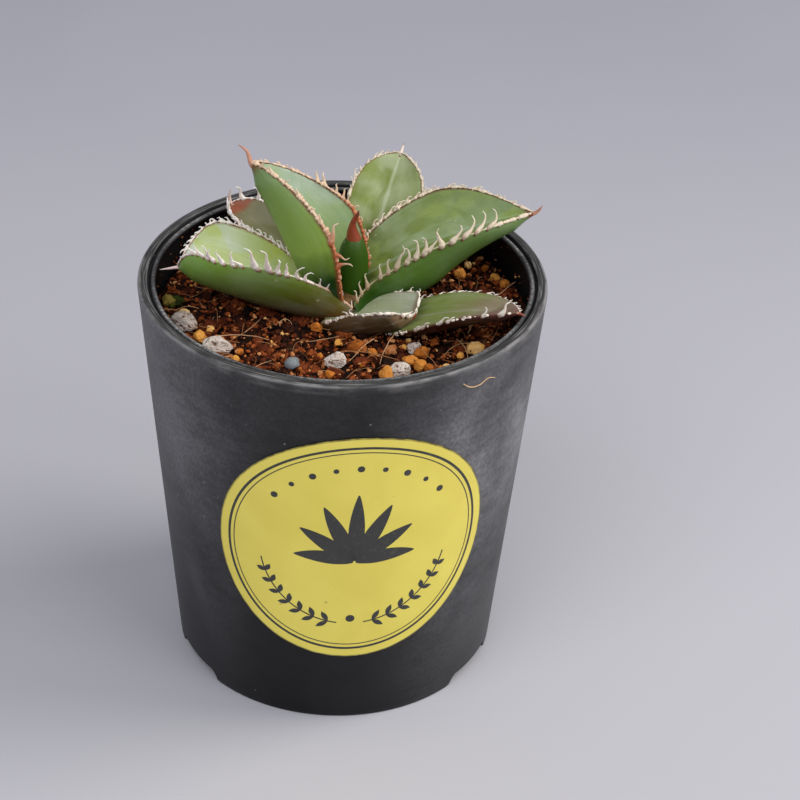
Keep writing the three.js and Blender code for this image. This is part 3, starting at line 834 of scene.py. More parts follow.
@dataclass
class Pot:
    """The tapered pot: broad feet, a thick rim with a lip, a groove and an inner bead, drain holes."""

    height: float = 95.0
    rim_radius: float = 45.0
    base_radius: float = 37.0
    wall: float = 2.0
    rim_depth: float = 2.6
    corner: float = 0.9
    floor_bottom: float = 5.0
    floor_thickness: float = 2.0
    foot_width: float = 2.6
    foot_gap_height: float = 2.7
    foot_gap_half: float = 12.5
    foot_gap_turn: float = 30.0
    drain_holes: int = 6
    drain_radius: float = 3.2
    drain_ring: float = 22.0
    segments: int = 240

    def wall_radius(self, z: float | Points) -> float | Points:
        """Outer radius of the wall at a height."""
        return blend(self.base_radius, self.rim_radius, z / (self.height - self.corner))

    def rim_profile(self) -> list[tuple[float, float, float, float]]:
        """The rim, from the lip's outer corner over the groove and the bead to the bead's inner side.

        Returns:
            Rows as in profile().
        """
        steps = (
            (0.0, self.corner, 0, 0.7), (0.05, 0.5, 0, 1.4), (0.22, 0.2, 0, 2), (0.5, 0.03, 0, 1.7),
            (0.75, 0, 0, 1), (1.2, 0.02, 0, 1), (1.75, 0.02, 0, 1), (2.0, 0.1, 0, 1.7), (2.15, 0.35, 0, 0.3),
            (2.3, 0.95, 0, 0), (2.55, 1.05, 0, 0), (2.75, 0.8, 0.1, 0), (2.95, 0.55, 0.4, 0),
            (3.2, 0.45, 1, 0), (3.45, 0.47, 1, 0), (3.7, 0.56, 0.5, 0), (3.88, 0.75, 0.15, 0),
            (4.0, 1.05, 0, 0), (3.94, 1.5, 0, 0), (3.5, 2.0, 0, 0),
        )
        return [(self.rim_radius - back, self.height - down, bead, rim) for back, down, bead, rim in steps]

    def profile(self) -> list[tuple[float, float, float, float]]:
        """Half section of the pot, from under the floor outwards, over the rim and down inside.

        Returns:
            Rows of radius, height, share of bead and share of rim, which is above 1 at a corner of the rim.
        """
        floor_top = self.floor_bottom + self.floor_thickness
        foot = self.base_radius - self.foot_width
        under_rim = self.height - self.rim_depth
        outside = (0.5, 1.5, 3.0, 4.6, 6.0, *np.linspace(10, 90, 17), 92.5)
        inside = (under_rim, 90.0, 86.0, 80.0, 50.0, 20.0)
        corner = self.wall_radius(floor_top) - self.wall
        below = [
            (0.01, self.floor_bottom), (foot - 4, self.floor_bottom), (foot - 0.4, self.floor_bottom),
            (foot, self.floor_bottom - 0.3), (foot, 0.3), (foot + 0.3, 0), (self.base_radius - 0.5, 0),
            (self.base_radius - 0.12, 0.15), *[(self.wall_radius(z), z) for z in outside],
        ]
        above = [
            *[(self.wall_radius(z) - self.wall, z) for z in inside],
            (corner, floor_top + 1.5), (corner - 1.5, floor_top), (0.01, floor_top),
        ]
        plain = [[(*row, 0, 0) for row in rows] for rows in (below, above)]
        return plain[0] + self.rim_profile() + plain[1]

    def build(self) -> None:
        """Makes the pot."""
        rows = np.array(self.profile(), float)
        turn = full_turn(self.segments)
        off_side = np.degrees(np.abs((turn + np.pi / 2) % np.pi - np.pi / 2))
        off_gap = np.abs(off_side - self.foot_gap_turn)
        gap = self.foot_gap_height * (1 - ease(off_gap, self.foot_gap_half - 1.5, self.foot_gap_half + 1.5))
        radius = np.repeat(rows[:, :1], self.segments, 1)
        z = np.repeat(rows[:, 1:2], self.segments, 1)
        near_ground = rows[:, 1] < self.foot_gap_height
        outer = near_ground & (rows[:, 0] > self.base_radius - 1)
        low = near_ground & (rows[:, 0] > self.base_radius - self.foot_width - 0.1)
        z = np.where(low[:, None], np.maximum(z, gap + z * 0.04), z)
        lean = (self.rim_radius - self.base_radius) / self.height
        radius = radius + np.where(outer[:, None], (z - rows[:, 1:2]) * lean, 0)
        uneven = 0.05 * np.sin(3 * turn + 1.0) + 0.04 * np.sin(7 * turn)
        radius = radius + np.where(rows[:, 2:3] > 0, uneven, 0)
        rings = np.stack([radius * np.cos(turn), radius * np.sin(turn), z], -1)
        wall = self.wall_radius(rows[:, 1]) - 0.3
        outside = (rows[:, 0] > wall) & (rows[:, 1] > 0.4)
        shell = Shell("bead", "rim", "corner", "outside")
        shell.loft(
            rings, bead=rows[:, 2:3], rim=np.minimum(rows[:, 3:], 1), corner=np.maximum(rows[:, 3:] - 1, 0),
            outside=outside[:, None],
        )
        self.drill(shell.piece("Nursery_pot", PotPlastic().build(), ["pot"], crisp=50))

    def drill(self, pot: bpy.types.Object) -> None:
        """Cuts the drain holes.

        Args:
            pot: The pot's object, whose mesh is replaced.
        """
        cutter = Shell()
        turn = full_turn(28)
        hole = self.drain_radius * np.stack([np.cos(turn), np.sin(turn), turn * 0], -1)
        ends = (self.floor_bottom - 1, self.floor_bottom + self.floor_thickness + 1)
        for around in full_turn(self.drain_holes):
            x, y = self.drain_ring * math.cos(around), self.drain_ring * math.sin(around)
            cutter.loft(np.array([hole + (x, y, z) for z in ends]))
        tool = cutter.thing("Drain cutter")
        cut = pot.modifiers.new("Drain holes", "BOOLEAN")
        cut.object = tool
        cut.operation = "DIFFERENCE"
        bpy.context.view_layer.update()
        drilled = pot.evaluated_get(bpy.context.evaluated_depsgraph_get())
        shaped = bpy.data.meshes.new_from_object(drilled)
        pot.modifiers.clear()
        pot.data = shaped
        bpy.data.objects.remove(tool)


# ---------------------------------------------------------------- sticker


@dataclass(frozen=True)
class StickerPaper:
    """Yellow coated paper with a faint crinkle and a thin dark line at its cut edge, partly the edge itself
    and partly a painted shadow.
    """

    face: Colour = (240, 223, 98)
    worn: Colour = (231, 212, 86)
    edge: Colour = (84, 74, 34)
    speck: Colour = (120, 104, 60)

    def build(self) -> bpy.types.Material:
        """Makes the material.

        Returns:
            The material.
        """
        finish = Finish("Sticker paper")
        graph = finish.graph
        colour = finish.effect(
            Effect.MOTTLE, Base=self.face, Blotch=self.worn, Scale=70.0, Softness=0.4, Amount=0.7
        )
        # Painted shadow: the dark line round the edge stands partly for the cut edge and partly for its thin
        # shadow on the wall.
        broken_edge_line = graph.noise(500.0, 4.0).step(0.3, 0.7, 0.6, 1.0)
        colour = graph.mix(graph.value("rim").step(0.984, 0.996) * broken_edge_line, colour, self.edge)
        specks = finish.effect(Effect.SPECKS, Scale=500.0, Share=0.02, Size=0.25)
        colour = graph.mix(specks * 0.4, colour, self.speck)
        crinkle = finish.effect(Effect.GRAIN, Scale=160.0, Fine_share=0.5)
        finish.set(Base_Color=colour, Roughness=0.42, Normal=finish.bump(crinkle, 0.12, 0.35))
        return finish.material


@dataclass(frozen=True)
class StickerInk:
    """Dark grey ink, slightly worn."""

    ink: Colour = (52, 52, 50)
    thin: Colour = (84, 82, 66)

    def build(self) -> bpy.types.Material:
        """Makes the material.

        Returns:
            The material.
        """
        finish = Finish("Sticker ink")
        colour = finish.effect(
            Effect.MOTTLE, Base=self.ink, Blotch=self.thin, Scale=900.0, Level=0.62, Amount=0.5
        )
        grain = finish.effect(Effect.GRAIN, Scale=1500.0)
        finish.set(Base_Color=colour, Roughness=0.5, Normal=finish.bump(grain, 0.02, 0.3))
        return finish.material


@dataclass
class Sticker:
    """The round sticker on the wall, with a plain ring and a fan of leaves printed on it."""

    pot: Pot
    radius: float = 31.2
    height: float = 50.5
    around: float = 4.0
    lean: float = 2.0
    lift: float = 0.08
    thickness: float = 0.24
    ink: float = 0.03

    def on_wall(self, across: Points, up: Points, lift: float | Points) -> Points:
        """Bends flat places to the wall.

        Args:
            across: Places to the right of the sticker's middle.
            up: Places above it.
            lift: How far off the wall.

        Returns:
            The points.
        """
        z = self.height + up
        arc = self.around + across + up * math.sin(math.radians(self.lean))
        wall = self.pot.wall_radius(z)
        angle = arc / wall
        return np.stack([np.sin(angle) * (wall + lift), -np.cos(angle) * (wall + lift), z], -1)

    def build(self) -> None:
        """Makes the paper and the print."""
        turn = full_turn(180)
        shares = [*np.linspace(0.004, 0.93, 30), 0.96, 0.985, 0.997]
        edge = [(1.0, 0.8), (1.0, 0.2), (0.997, 0.0)]
        steps = [*[(share, 1.0) for share in shares], *edge, *[(share, 0.0) for share in shares[-2::-1]]]
        rings = []
        for share, up in steps:
            reach = share * self.radius
            outward = self.lift + self.thickness * up
            rings.append(self.on_wall(reach * np.cos(turn), reach * np.sin(turn), outward))
        shell = Shell("rim")
        shell.loft(np.array(rings), rim=np.array(steps)[:, :1])
        shell.piece("Sticker", StickerPaper().build(), ["sticker"], crisp=60)
        self.print_motif()

    def ribbon(self, shell: Shell, line: Points, half: Points) -> None:
        """Adds a printed stroke.

        Args:
            shell: The print.
            line: Flat points of its middle line.
            half: Half its width at each point.
        """
        heading = unit(np.gradient(line, axis=0))
        side = np.stack([-heading[:, 1], heading[:, 0]], -1)
        spread = np.linspace(-1, 1, 9)
        top, bottom = self.lift + self.thickness + self.ink, self.lift + self.thickness * 0.5
        rings = []
        for centre, normal, width in zip(line, side, half, strict=True):
            flat = centre + normal * (spread * width)[:, None]
            upper = self.on_wall(flat[:, 0], flat[:, 1], top)
            lower = self.on_wall(flat[::-1, 0], flat[::-1, 1], bottom)
            rings.append(np.concatenate([upper, lower]))
        shell.loft(np.array(rings))

    def print_motif(self) -> None:
        """Prints a double ring, a fan of pointed leaves over two sprigs, and a row of dots above."""
        shell = Shell()
        for ring, width in ((28.6, 0.3), (27.4, 0.12)):
            for start in (0, np.pi):
                turn = np.linspace(start, start + np.pi, 90)
                line = ring * np.stack([np.cos(turn), np.sin(turn)], -1)
                self.ribbon(shell, line, np.full(len(line), width))
        share = np.linspace(0.02, 0.99, 26)
        for angle, reach in ((0, 19), (24, 18), (-24, 18), (48, 16.5), (-48, 16.5), (72, 14), (-72, 14)):
            heading = math.radians(90 - angle)
            droop = np.abs(share**2 * angle / 90 * 3.5)
            across, up = reach * share * math.cos(heading), reach * share * math.sin(heading) - 3.0 - droop
            self.ribbon(shell, np.stack([across, up], -1), 1.7 * np.sin(np.pi * share**0.85) ** 0.8 + 0.04)
        for side in (-1, 1):
            self.sprig(shell, side)
        for degrees in np.linspace(38, 142, 9):
            turn = math.radians(degrees)
            self.dot(shell, 23.0 * math.cos(turn), 23.0 * math.sin(turn), 0.62 if round(degrees) % 2 else 0.8)
        self.dot(shell, 0.0, -19.6, 1.0)
        shell.piece("Sticker_print", StickerInk().build(), crisp=60)

    def dot(self, shell: Shell, across: float, up: float, radius: float) -> None:
        """Prints a round dot.

        Args:
            shell: The print.
            across: Its place to the right of the sticker's middle.
            up: Its place above it.
            radius: Its radius.
        """
        part = np.linspace(0.02, 0.98, 12)
        line = np.stack([across + (part - 0.5) * 2 * radius, part * 0 + up], -1)
        self.ribbon(shell, line, radius * np.sqrt(np.maximum(1 - (2 * part - 1) ** 2, 0.01)))

    def sprig(self, shell: Shell, side: int) -> None:
        """Prints a curved stalk with small leaves on both sides of it.

        Args:
            shell: The print.
            side: -1 for the left one, 1 for the right one.
        """
        turn = np.radians(np.linspace(-82, -12, 40))
        stalk = 21.0 * np.stack([side * np.cos(turn), np.sin(turn)], -1)
        self.ribbon(shell, stalk, np.full(len(stalk), 0.16))
        part = np.linspace(0.0, 1.0, 14)
        for k in range(7):
            at = 3 + 5 * k
            ahead = unit(stalk[at + 1] - stalk[at - 1])
            for lean in (-48, 48):
                heading = np.array(Matrix.Rotation(math.radians(lean), 2)) @ ahead
                leaf = stalk[at] + part[:, None] * heading * (3.1 - 0.15 * k)
                self.ribbon(shell, leaf, 0.62 * np.sin(np.pi * np.clip(part, 0.03, 0.97)) ** 0.9)


# ---------------------------------------------------------------- grit and stones


@dataclass(frozen=True)
class GrainFinish:
    """Loose grains, each of its own tint, with a rough dull surface.

    colours go from dark to pale, the last at tint 1; pits are dark spots in the stone, painted shade that
    stands for small holes.
    """

    name: str
    colours: dict[float, Colour]
    roughness: float = 0.75
    scale: float = 1300.0
    depth: float = 0.4
    pits: Colour | None = None
    dust: float = 0.12
    dust_colour: Colour = (146, 78, 36)

    def build(self) -> bpy.types.Material:
        """Makes the material.

        Returns:
            The material.
        """
        finish = Finish(self.name)
        graph = finish.graph
        clouds = graph.noise(self.scale, 4.0) - 0.5
        colour = graph.ramp(graph.value("tint") + clouds * 0.45, self.colours.items())
        if self.pits:
            # Painted shade: dark spots standing for the shade in small holes.
            spots = finish.effect(Effect.SPECKS, Scale=self.scale * 0.9, Share=0.35, Size=0.42)
            colour = graph.mix(spots * 0.75, colour, self.pits)
        dust = finish.effect(Effect.DUST, Scale=300.0, Amount=self.dust, Settling=0.6)
        colour = graph.mix(dust, colour, self.dust_colour)
        normal = finish.bump(finish.effect(Effect.GRAIN, Scale=self.scale, Fine_share=0.6), self.depth, 0.8)
        finish.set(Base_Color=colour, Roughness=self.roughness, Normal=normal, Specular_IOR_Level=0.15)
        return finish.material


class Grain(Enum):
    """The kinds of loose grain in the pot."""

    # The ramp's dark end serves as painted shade for the earth and low crumbs, and its pale end as painted
    # light on raised crumbs.
    BARK = GrainFinish(
        "Bark crumbs",
        {0.0: (7, 2, 1), 0.25: (34, 12, 5), 0.5: (96, 40, 15), 0.75: (158, 80, 34), 1.0: (224, 162, 104)},
    )
    GRANULE = GrainFinish(
        "Ochre granules",
        {0.0: (130, 62, 16), 0.4: (200, 120, 44), 0.75: (230, 168, 80), 1.0: (244, 216, 158)},
        scale=900.0, depth=0.35, pits=(112, 56, 22), dust=0.15,
    )
    PUMICE = GrainFinish(
        "Pumice",
        {0.0: (84, 56, 40), 0.3: (168, 146, 130), 0.6: (212, 200, 188), 1.0: (236, 228, 220)},
        roughness=0.9, scale=1100.0, depth=0.45, pits=(104, 74, 54), dust=0.3,
    )
    PEBBLE = GrainFinish(
        "Grey pebble", {0.0: (92, 100, 104), 0.6: (124, 132, 134), 1.0: (176, 180, 178)},
        roughness=0.35, scale=700.0, depth=0.05,
    )
    ROOT = GrainFinish(
        "Dry roots", {0.0: (128, 78, 44), 0.5: (176, 126, 82), 1.0: (214, 182, 142)},
        roughness=0.7, scale=900.0, depth=0.05,
    )
    MOSS = GrainFinish(
        "Moss", {0.0: (22, 40, 10), 0.5: (70, 84, 24), 1.0: (170, 150, 70)}, roughness=0.9, scale=1400.0,
    )

    def finish(self) -> bpy.types.Material:
        """The material, built the first time it is asked for."""
        return bpy.data.materials.get(self.value.name) or self.value.build()


@dataclass
class Grit:
    """The filling: dark earth, near black partly as painted shade between the crumbs, thousands of bark
    crumbs on it, ochre granules, moss and dry roots.

    granules are rows of place and radius, moss_scraps rows of place, radius and tint, and long_roots
    the controls of each curve. strewn is how many small granules lie about besides the listed ones.
    """

    pot: Pot
    level: float = 85.8
    radius: float = 41.7
    crumbs: int = 5600
    clods: int = 900
    wall_crumbs: int = 170
    shapes: int = 24
    strewn: int = 46
    granule_flats: int = 7
    short_roots: int = 190
    seed: int = 11
    granules: tuple[Spot, ...] = (
        (-30.7, -12.7, 1.7), (-28.7, -9.5, 1.1), (-5.5, -7.6, 1.25), (3.5, -15.8, 1.9), (6.8, -17.3, 1.0),
        (-0.6, -13.7, 1.0), (10.0, -26.0, 1.8), (17.4, -17.3, 1.6), (14.8, -20.3, 1.6), (17.0, -22.4, 1.5),
        (18.8, -23.0, 1.1), (13.3, -15.0, 0.9), (29.2, -14.9, 1.9), (25.6, -17.6, 0.9), (22.5, -22.6, 1.0),
        (34.5, 15.8, 1.2), (36.6, 13.5, 1.2), (32.4, 20.2, 1.0), (28.6, 21.4, 1.0),
        (-34.7, -3.4, 1.2), (-36.6, 16.0, 0.9), (-21.8, -18.3, 0.9), (-22.5, -21.5, 1.0), (-4.6, -19.1, 0.8),
        (-2.3, -26.6, 1.1), (20.3, -12.2, 0.9), (26.4, 17.0, 1.5), (-20.0, 24.0, 1.2), (8.0, 34.0, 1.4),
    )
    moss_scraps: tuple[tuple[float, float, float, float], ...] = (
        (-38.6, 1.6, 1.5, 0.95), (-37.0, 2.6, 1.1, 0.3), (-36.4, 1.4, 0.9, 0.1), (-37.6, 0.2, 0.8, 0.45),
        (-35.6, 2.6, 0.7, 0.2),
    )
    long_roots: tuple[tuple[Spot, ...], ...] = (
        ((27.5, -9.5, 87.0), (30.5, -3.0, 88.6), (33.5, 3.0, 88.8), (38.6, 8.4, 89.6)),
        ((12.2, -9.8, 87.2), (10.4, -14.5, 88.0), (9.0, -19.0, 87.6), (8.2, -23.6, 87.2)),
        ((7.0, -13.8, 87.4), (4.4, -17.6, 88.0), (3.6, -20.0, 87.8), (1.6, -22.4, 87.0)),
        ((16.8, -13.6, 87.2), (16.0, -18.2, 88.0), (19.2, -20.8, 87.8), (20.6, -23.6, 87.0)),
        ((-0.6, -18.8, 87.0), (3.2, -19.4, 88.2), (8.0, -20.6, 87.8), (12.6, -22.0, 87.2)),
        ((-29.0, -14.8, 87.0), (-24.6, -13.6, 87.9), (-19.8, -13.8, 87.8), (-15.6, -14.6, 87.0)),
        ((25.0, -12.4, 87.0), (26.4, -15.6, 87.8), (27.4, -18.6, 87.6), (27.0, -21.8, 87.0)),
    )

    def height(self, points: Points) -> Points:
        """Height of the earth at places on the plane."""
        flat = np.column_stack([points[:, :2], np.zeros(len(points))])
        return self.level - 1.1 + 0.9 * smooth_noise(flat, 0.23, 3.1) + 0.8 * smooth_noise(flat, 0.7, 9.7)

    def build(self) -> None:
        """Makes the earth, the crumbs, the granules, the moss and the roots."""
        self.earth()
        self.scatter()
        self.stones()
        self.moss()
        self.roots()

    def earth(self) -> None:
        """The dark bulk of the filling, down to the pot's floor, tinted near black partly as painted shade in
        the gaps between the crumbs.
        """
        turn = full_turn(160)
        circle = np.stack([np.cos(turn), np.sin(turn), turn * 0], -1)
        floor = self.pot.floor_bottom + self.pot.floor_thickness + 0.3
        inner = self.pot.wall_radius(floor) - self.pot.wall - 0.4
        sides = ((0.2, floor), (inner - 1.5, floor), (inner, floor + 1.5), (self.radius - 0.4, 83.0))
        rings = [circle * radius + (0, 0, z) for radius, z in sides]
        for share in np.linspace(1, 0.005, 64):
            ring = circle * (self.radius * share)
            ring[:, 2] = self.height(ring)
            rings.append(ring)
        shell = Shell("tint")
        # Painted shade: the earth takes a near-black tint to stand for the shade in the gaps between crumbs.
        shell.loft(np.array(rings), tint=0.08)
        shell.piece("Earth", Grain.BARK.finish(), ["soil"])

    @staticmethod
    def lumps(level: int, count: int, chance: np.random.Generator,
              rough: float) -> tuple[list[Points], Faces]:
        """Irregular forms to pick from.

        Args:
            level: How fine they are.
            count: How many.
            chance: Where their shapes are drawn from.
            rough: How far they are from round.

        Returns:
            The points of each, and their faces.
        """
        form, faces = ball(level)
        forms = []
        for _ in range(count):
            start = chance.uniform(0, 90)
            swell = 1 + rough * (smooth_noise(form, 1.2, start) + 0.55 * smooth_noise(form, 2.8, start + 20))
            forms.append(form * np.maximum(swell, 0.35)[:, None])
        return forms, faces

    def scatter(self) -> None:
        """Bark: crumbs with rough clods between them, and a few crumbs stuck to the wall inside."""
        chance = np.random.default_rng(self.seed)
        crumb_forms, crumb_faces = self.lumps(2, self.shapes, chance, 0.5)
        clod_forms, clod_faces = self.lumps(3, self.shapes, chance, 0.6)
        shell = Shell("tint")
        total = self.crumbs + self.clods
        far = self.radius * np.sqrt(chance.uniform(0, 1, total)) * 0.985
        turn = chance.uniform(0, 2 * np.pi, total)
        spots = np.stack([far * np.cos(turn), far * np.sin(turn), far * 0], -1)
        spots[:, 2] = self.height(spots)
        for i, spot in enumerate(spots):
            if i >= self.crumbs:
                near_wall = min(1.0, (self.radius - far[i]) / 1.9 + 0.35)
                size = blend(0.7, 2.1, chance.uniform(0, 1) ** 1.6) * near_wall
                rise = chance.uniform(-0.5, 0.6)
                scale = size * np.array([1.0, chance.uniform(0.6, 0.95), chance.uniform(0.45, 0.8)])
                form, faces = clod_forms[i % self.shapes], clod_faces
            else:
                size = chance.uniform(0.2, 0.42) if i % 3 else chance.uniform(0.4, 0.78)
                rise = chance.uniform(-0.3, 1.5)
                scale = size * np.array([1.0, chance.uniform(0.45, 0.9), chance.uniform(0.35, 0.75)])
                form, faces = crumb_forms[i % self.shapes], crumb_faces
            # Painted light and shade: a crumb's tint rises with its height, so raised crumbs are paler and
            # low ones darker.
            tint = np.clip(0.36 + 0.26 * rise + chance.normal(0, 0.18), 0.02, 0.98)
            self.put(shell, (form * scale, faces), Vector(spot + (0, 0, rise)), chance, tint)
        for _ in range(self.wall_crumbs):
            turn_at = chance.uniform(0, 2 * np.pi)
            z = self.level + 0.4 + 6.6 * chance.uniform(0, 1) ** 2.2
            wall = self.pot.wall_radius(z) - self.pot.wall - 0.05
            place = Vector((wall * math.cos(turn_at), wall * math.sin(turn_at), z))
            crumb = (crumb_forms[0] * chance.uniform(0.1, 0.3), crumb_faces)
            self.put(shell, crumb, place, chance, chance.uniform(0.6, 1.0))
        shell.piece("Bark_crumbs", Grain.BARK.finish(), ["soil"])

    @staticmethod
    def put(shell: Shell, grain: tuple[Points, Faces], place: Vector, chance: np.random.Generator,
            tint: float) -> None:
        """Puts one grain at a place, turned by chance.

        Args:
            shell: What it is added to.
            grain: Its points around its middle, and its faces.
            place: Its middle.
            chance: Where the turn is drawn from.
            tint: Its tint.
        """
        turned = Matrix.Rotation(chance.uniform(0, 6.28), 3, "Z")
        tipped = Matrix.Rotation(chance.uniform(-0.9, 0.9), 3, "X")
        points, faces = grain
        shell.add(points @ np.array(turned @ tipped).T + np.array(place), faces, tint=tint)

    def stones(self) -> None:
        """Ochre granules, the listed ones and small ones strewn about."""
        chance = np.random.default_rng(self.seed + 1)
        form, faces = ball(4)
        shell = Shell("tint")
        far = self.radius * 0.96 * np.sqrt(chance.uniform(0, 1, self.strewn))
        turn = chance.uniform(0, 6.28, self.strewn)
        strewn = [
            (r * math.cos(a), r * math.sin(a), chance.uniform(0.3, 0.62))
            for r, a in zip(far, turn, strict=True)
        ]
        for x, y, radius in [*self.granules, *strewn]:
            start = chance.uniform(0, 90)
            swell = 1 + 0.3 * smooth_noise(form, 1.1, start) + 0.1 * smooth_noise(form, 3.2, start)
            for _ in range(self.granule_flats):
                reach = chance.uniform(0.72, 0.9)
                facing = np.maximum(form @ unit(chance.normal(0, 1, 3)), 0.2)
                swell = np.minimum(swell, reach / facing)
            swell = swell + 0.05 * smooth_noise(form, 5.0, start)
            scale = radius * np.array([1.05, chance.uniform(0.8, 1.0), chance.uniform(0.75, 0.95)])
            place = Vector((x, y, self.level + 0.3 * radius))
            grain = (form * swell[:, None] * scale, faces)
            self.put(shell, grain, place, chance, chance.uniform(0.1, 0.9))
        shell.piece("Ochre_granules", Grain.GRANULE.finish(), ["soil"])

    def moss(self) -> None:
        """A scrap of moss and a green-stained granule near the left wall."""
        chance = np.random.default_rng(self.seed + 3)
        forms, faces = self.lumps(3, 6, chance, 0.4)
        shell = Shell("tint")
        for (x, y, radius, tint), form in zip(self.moss_scraps, forms, strict=False):
            grain = (form * (radius * np.array([1, 0.9, 0.8])), faces)
            self.put(shell, grain, Vector((x, y, self.level + 0.4 * radius)), chance, tint)
        shell.piece("Moss", Grain.MOSS.finish())

    def roots(self) -> None:
        """Dry roots and fibres: a few long ones and many short ones lying in the crumbs."""
        chance = np.random.default_rng(self.seed + 2)
        shell = Shell("tint")
        for controls in self.long_roots:
            path = bezier(np.array(controls), 26)
            path = path + 0.18 * np.stack([smooth_noise(path, 0.5, k) for k in (1.0, 7.0, 13.0)], -1)
            taper = np.linspace(0.13, 0.05, len(path))
            shell.loft(tube_rings(path, taper, 6), tint=chance.uniform(0.3, 0.8))
        for _ in range(self.short_roots):
            shell.loft(self.short_root(chance), tint=chance.uniform(0.1, 0.9))
        shell.piece("Dry_roots", Grain.ROOT.finish())

    def short_root(self, chance: np.random.Generator) -> Points:
        """One short root lying somewhere inside the wall.

        Args:
            chance: Where its place and its bends are drawn from.

        Returns:
            The rings of its form.
        """
        length, steps = chance.uniform(2.0, 9.0), 12
        far, turn = self.radius * 0.93 * math.sqrt(chance.uniform(0, 1)), chance.uniform(0, 6.28)
        heading = chance.uniform(0, 6.28) + np.linspace(0, chance.normal(0, 1.7), steps)
        step = length / (steps - 1)
        flat = np.cumsum(np.stack([np.cos(heading), np.sin(heading)], -1) * step, 0)
        flat = flat - flat.mean(0) + far * np.array([math.cos(turn), math.sin(turn)])
        reach = np.linalg.norm(flat, axis=1)
        flat = flat * np.minimum(1, (self.radius - 0.4) / reach)[:, None]
        share = np.linspace(0, 1, steps)
        z = self.level + 0.25 + chance.uniform(0.1, 1.0) * np.sin(np.pi * share)
        radii = np.full(steps, chance.uniform(0.045, 0.1)) * (1 - 0.5 * share)
        return tube_rings(np.column_stack([flat, z]), radii, 5)


@dataclass
class Stone:
    """One larger stone in the top of the grit."""

    node: str
    x: float
    y: float
    half: Spot
    turn: float
    kind: Grain
    flats: int = 9
    level: float = 85.8

    def build(self, seed: int) -> None:
        """Makes the stone.

        Args:
            seed: Which of all possible stones it is.
        """
        chance = np.random.default_rng(300 + seed)
        form, faces = ball(5)
        for _ in range(self.flats):
            normal = unit(chance.normal(0, 1, 3))
            cut = chance.uniform(0.66, 0.9)
            beyond = np.maximum(form @ normal - cut, 0)
            form = form - beyond[:, None] * normal * 0.94
        pit, swell = np.zeros(len(form)), np.ones(len(form))
        if self.kind is not Grain.PEBBLE:
            pit = ease(smooth_noise(form, 3.6, seed + 40.0), 0.22, 0.5)
            pit = np.maximum(pit, 0.7 * ease(smooth_noise(form, 8.0, seed + 70.0), 0.25, 0.5))
            uneven = 1 + 0.07 * smooth_noise(form, 2.0, seed) + 0.04 * smooth_noise(form, 7.0, seed)
            swell = uneven - 0.17 * pit
        spin = np.array(Matrix.Rotation(math.radians(self.turn), 3, "Z"))
        points = (form * swell[:, None] * np.array(self.half) * 1.08) @ spin.T
        points = points + np.array([self.x, self.y, self.level + self.half[2] * 0.45])
        shell = Shell("tint")
        # Painted shade: the tint darkens in the pits, where shade falls.
        shell.add(points, faces, tint=chance.uniform(0.55, 0.75) - 0.5 * pit)
        shell.piece(self.node.title(), self.kind.finish(), [self.node], crisp=60)


STONES = (
    Stone("pumice_west", -34.6, -7.6, (3.0, 2.5, 2.0), -35, Grain.PUMICE),
    Stone("pumice_front_west", -27.0, -17.2, (3.7, 2.3, 1.9), 15, Grain.PUMICE, 8),
    Stone("pumice_front", -1.3, -21.8, (2.4, 1.9, 1.7), 30, Grain.PUMICE),
    Stone("pumice_front_east", 12.4, -25.0, (2.6, 2.0, 1.8), -10, Grain.PUMICE),
    Stone("pumice_small", 15.8, -15.6, (1.6, 1.5, 1.4), 0, Grain.PUMICE),
    Stone("pebble", -10.3, -23.0, (1.7, 1.5, 1.3), 20, Grain.PEBBLE, 3),
)


# ---------------------------------------------------------------- leaves


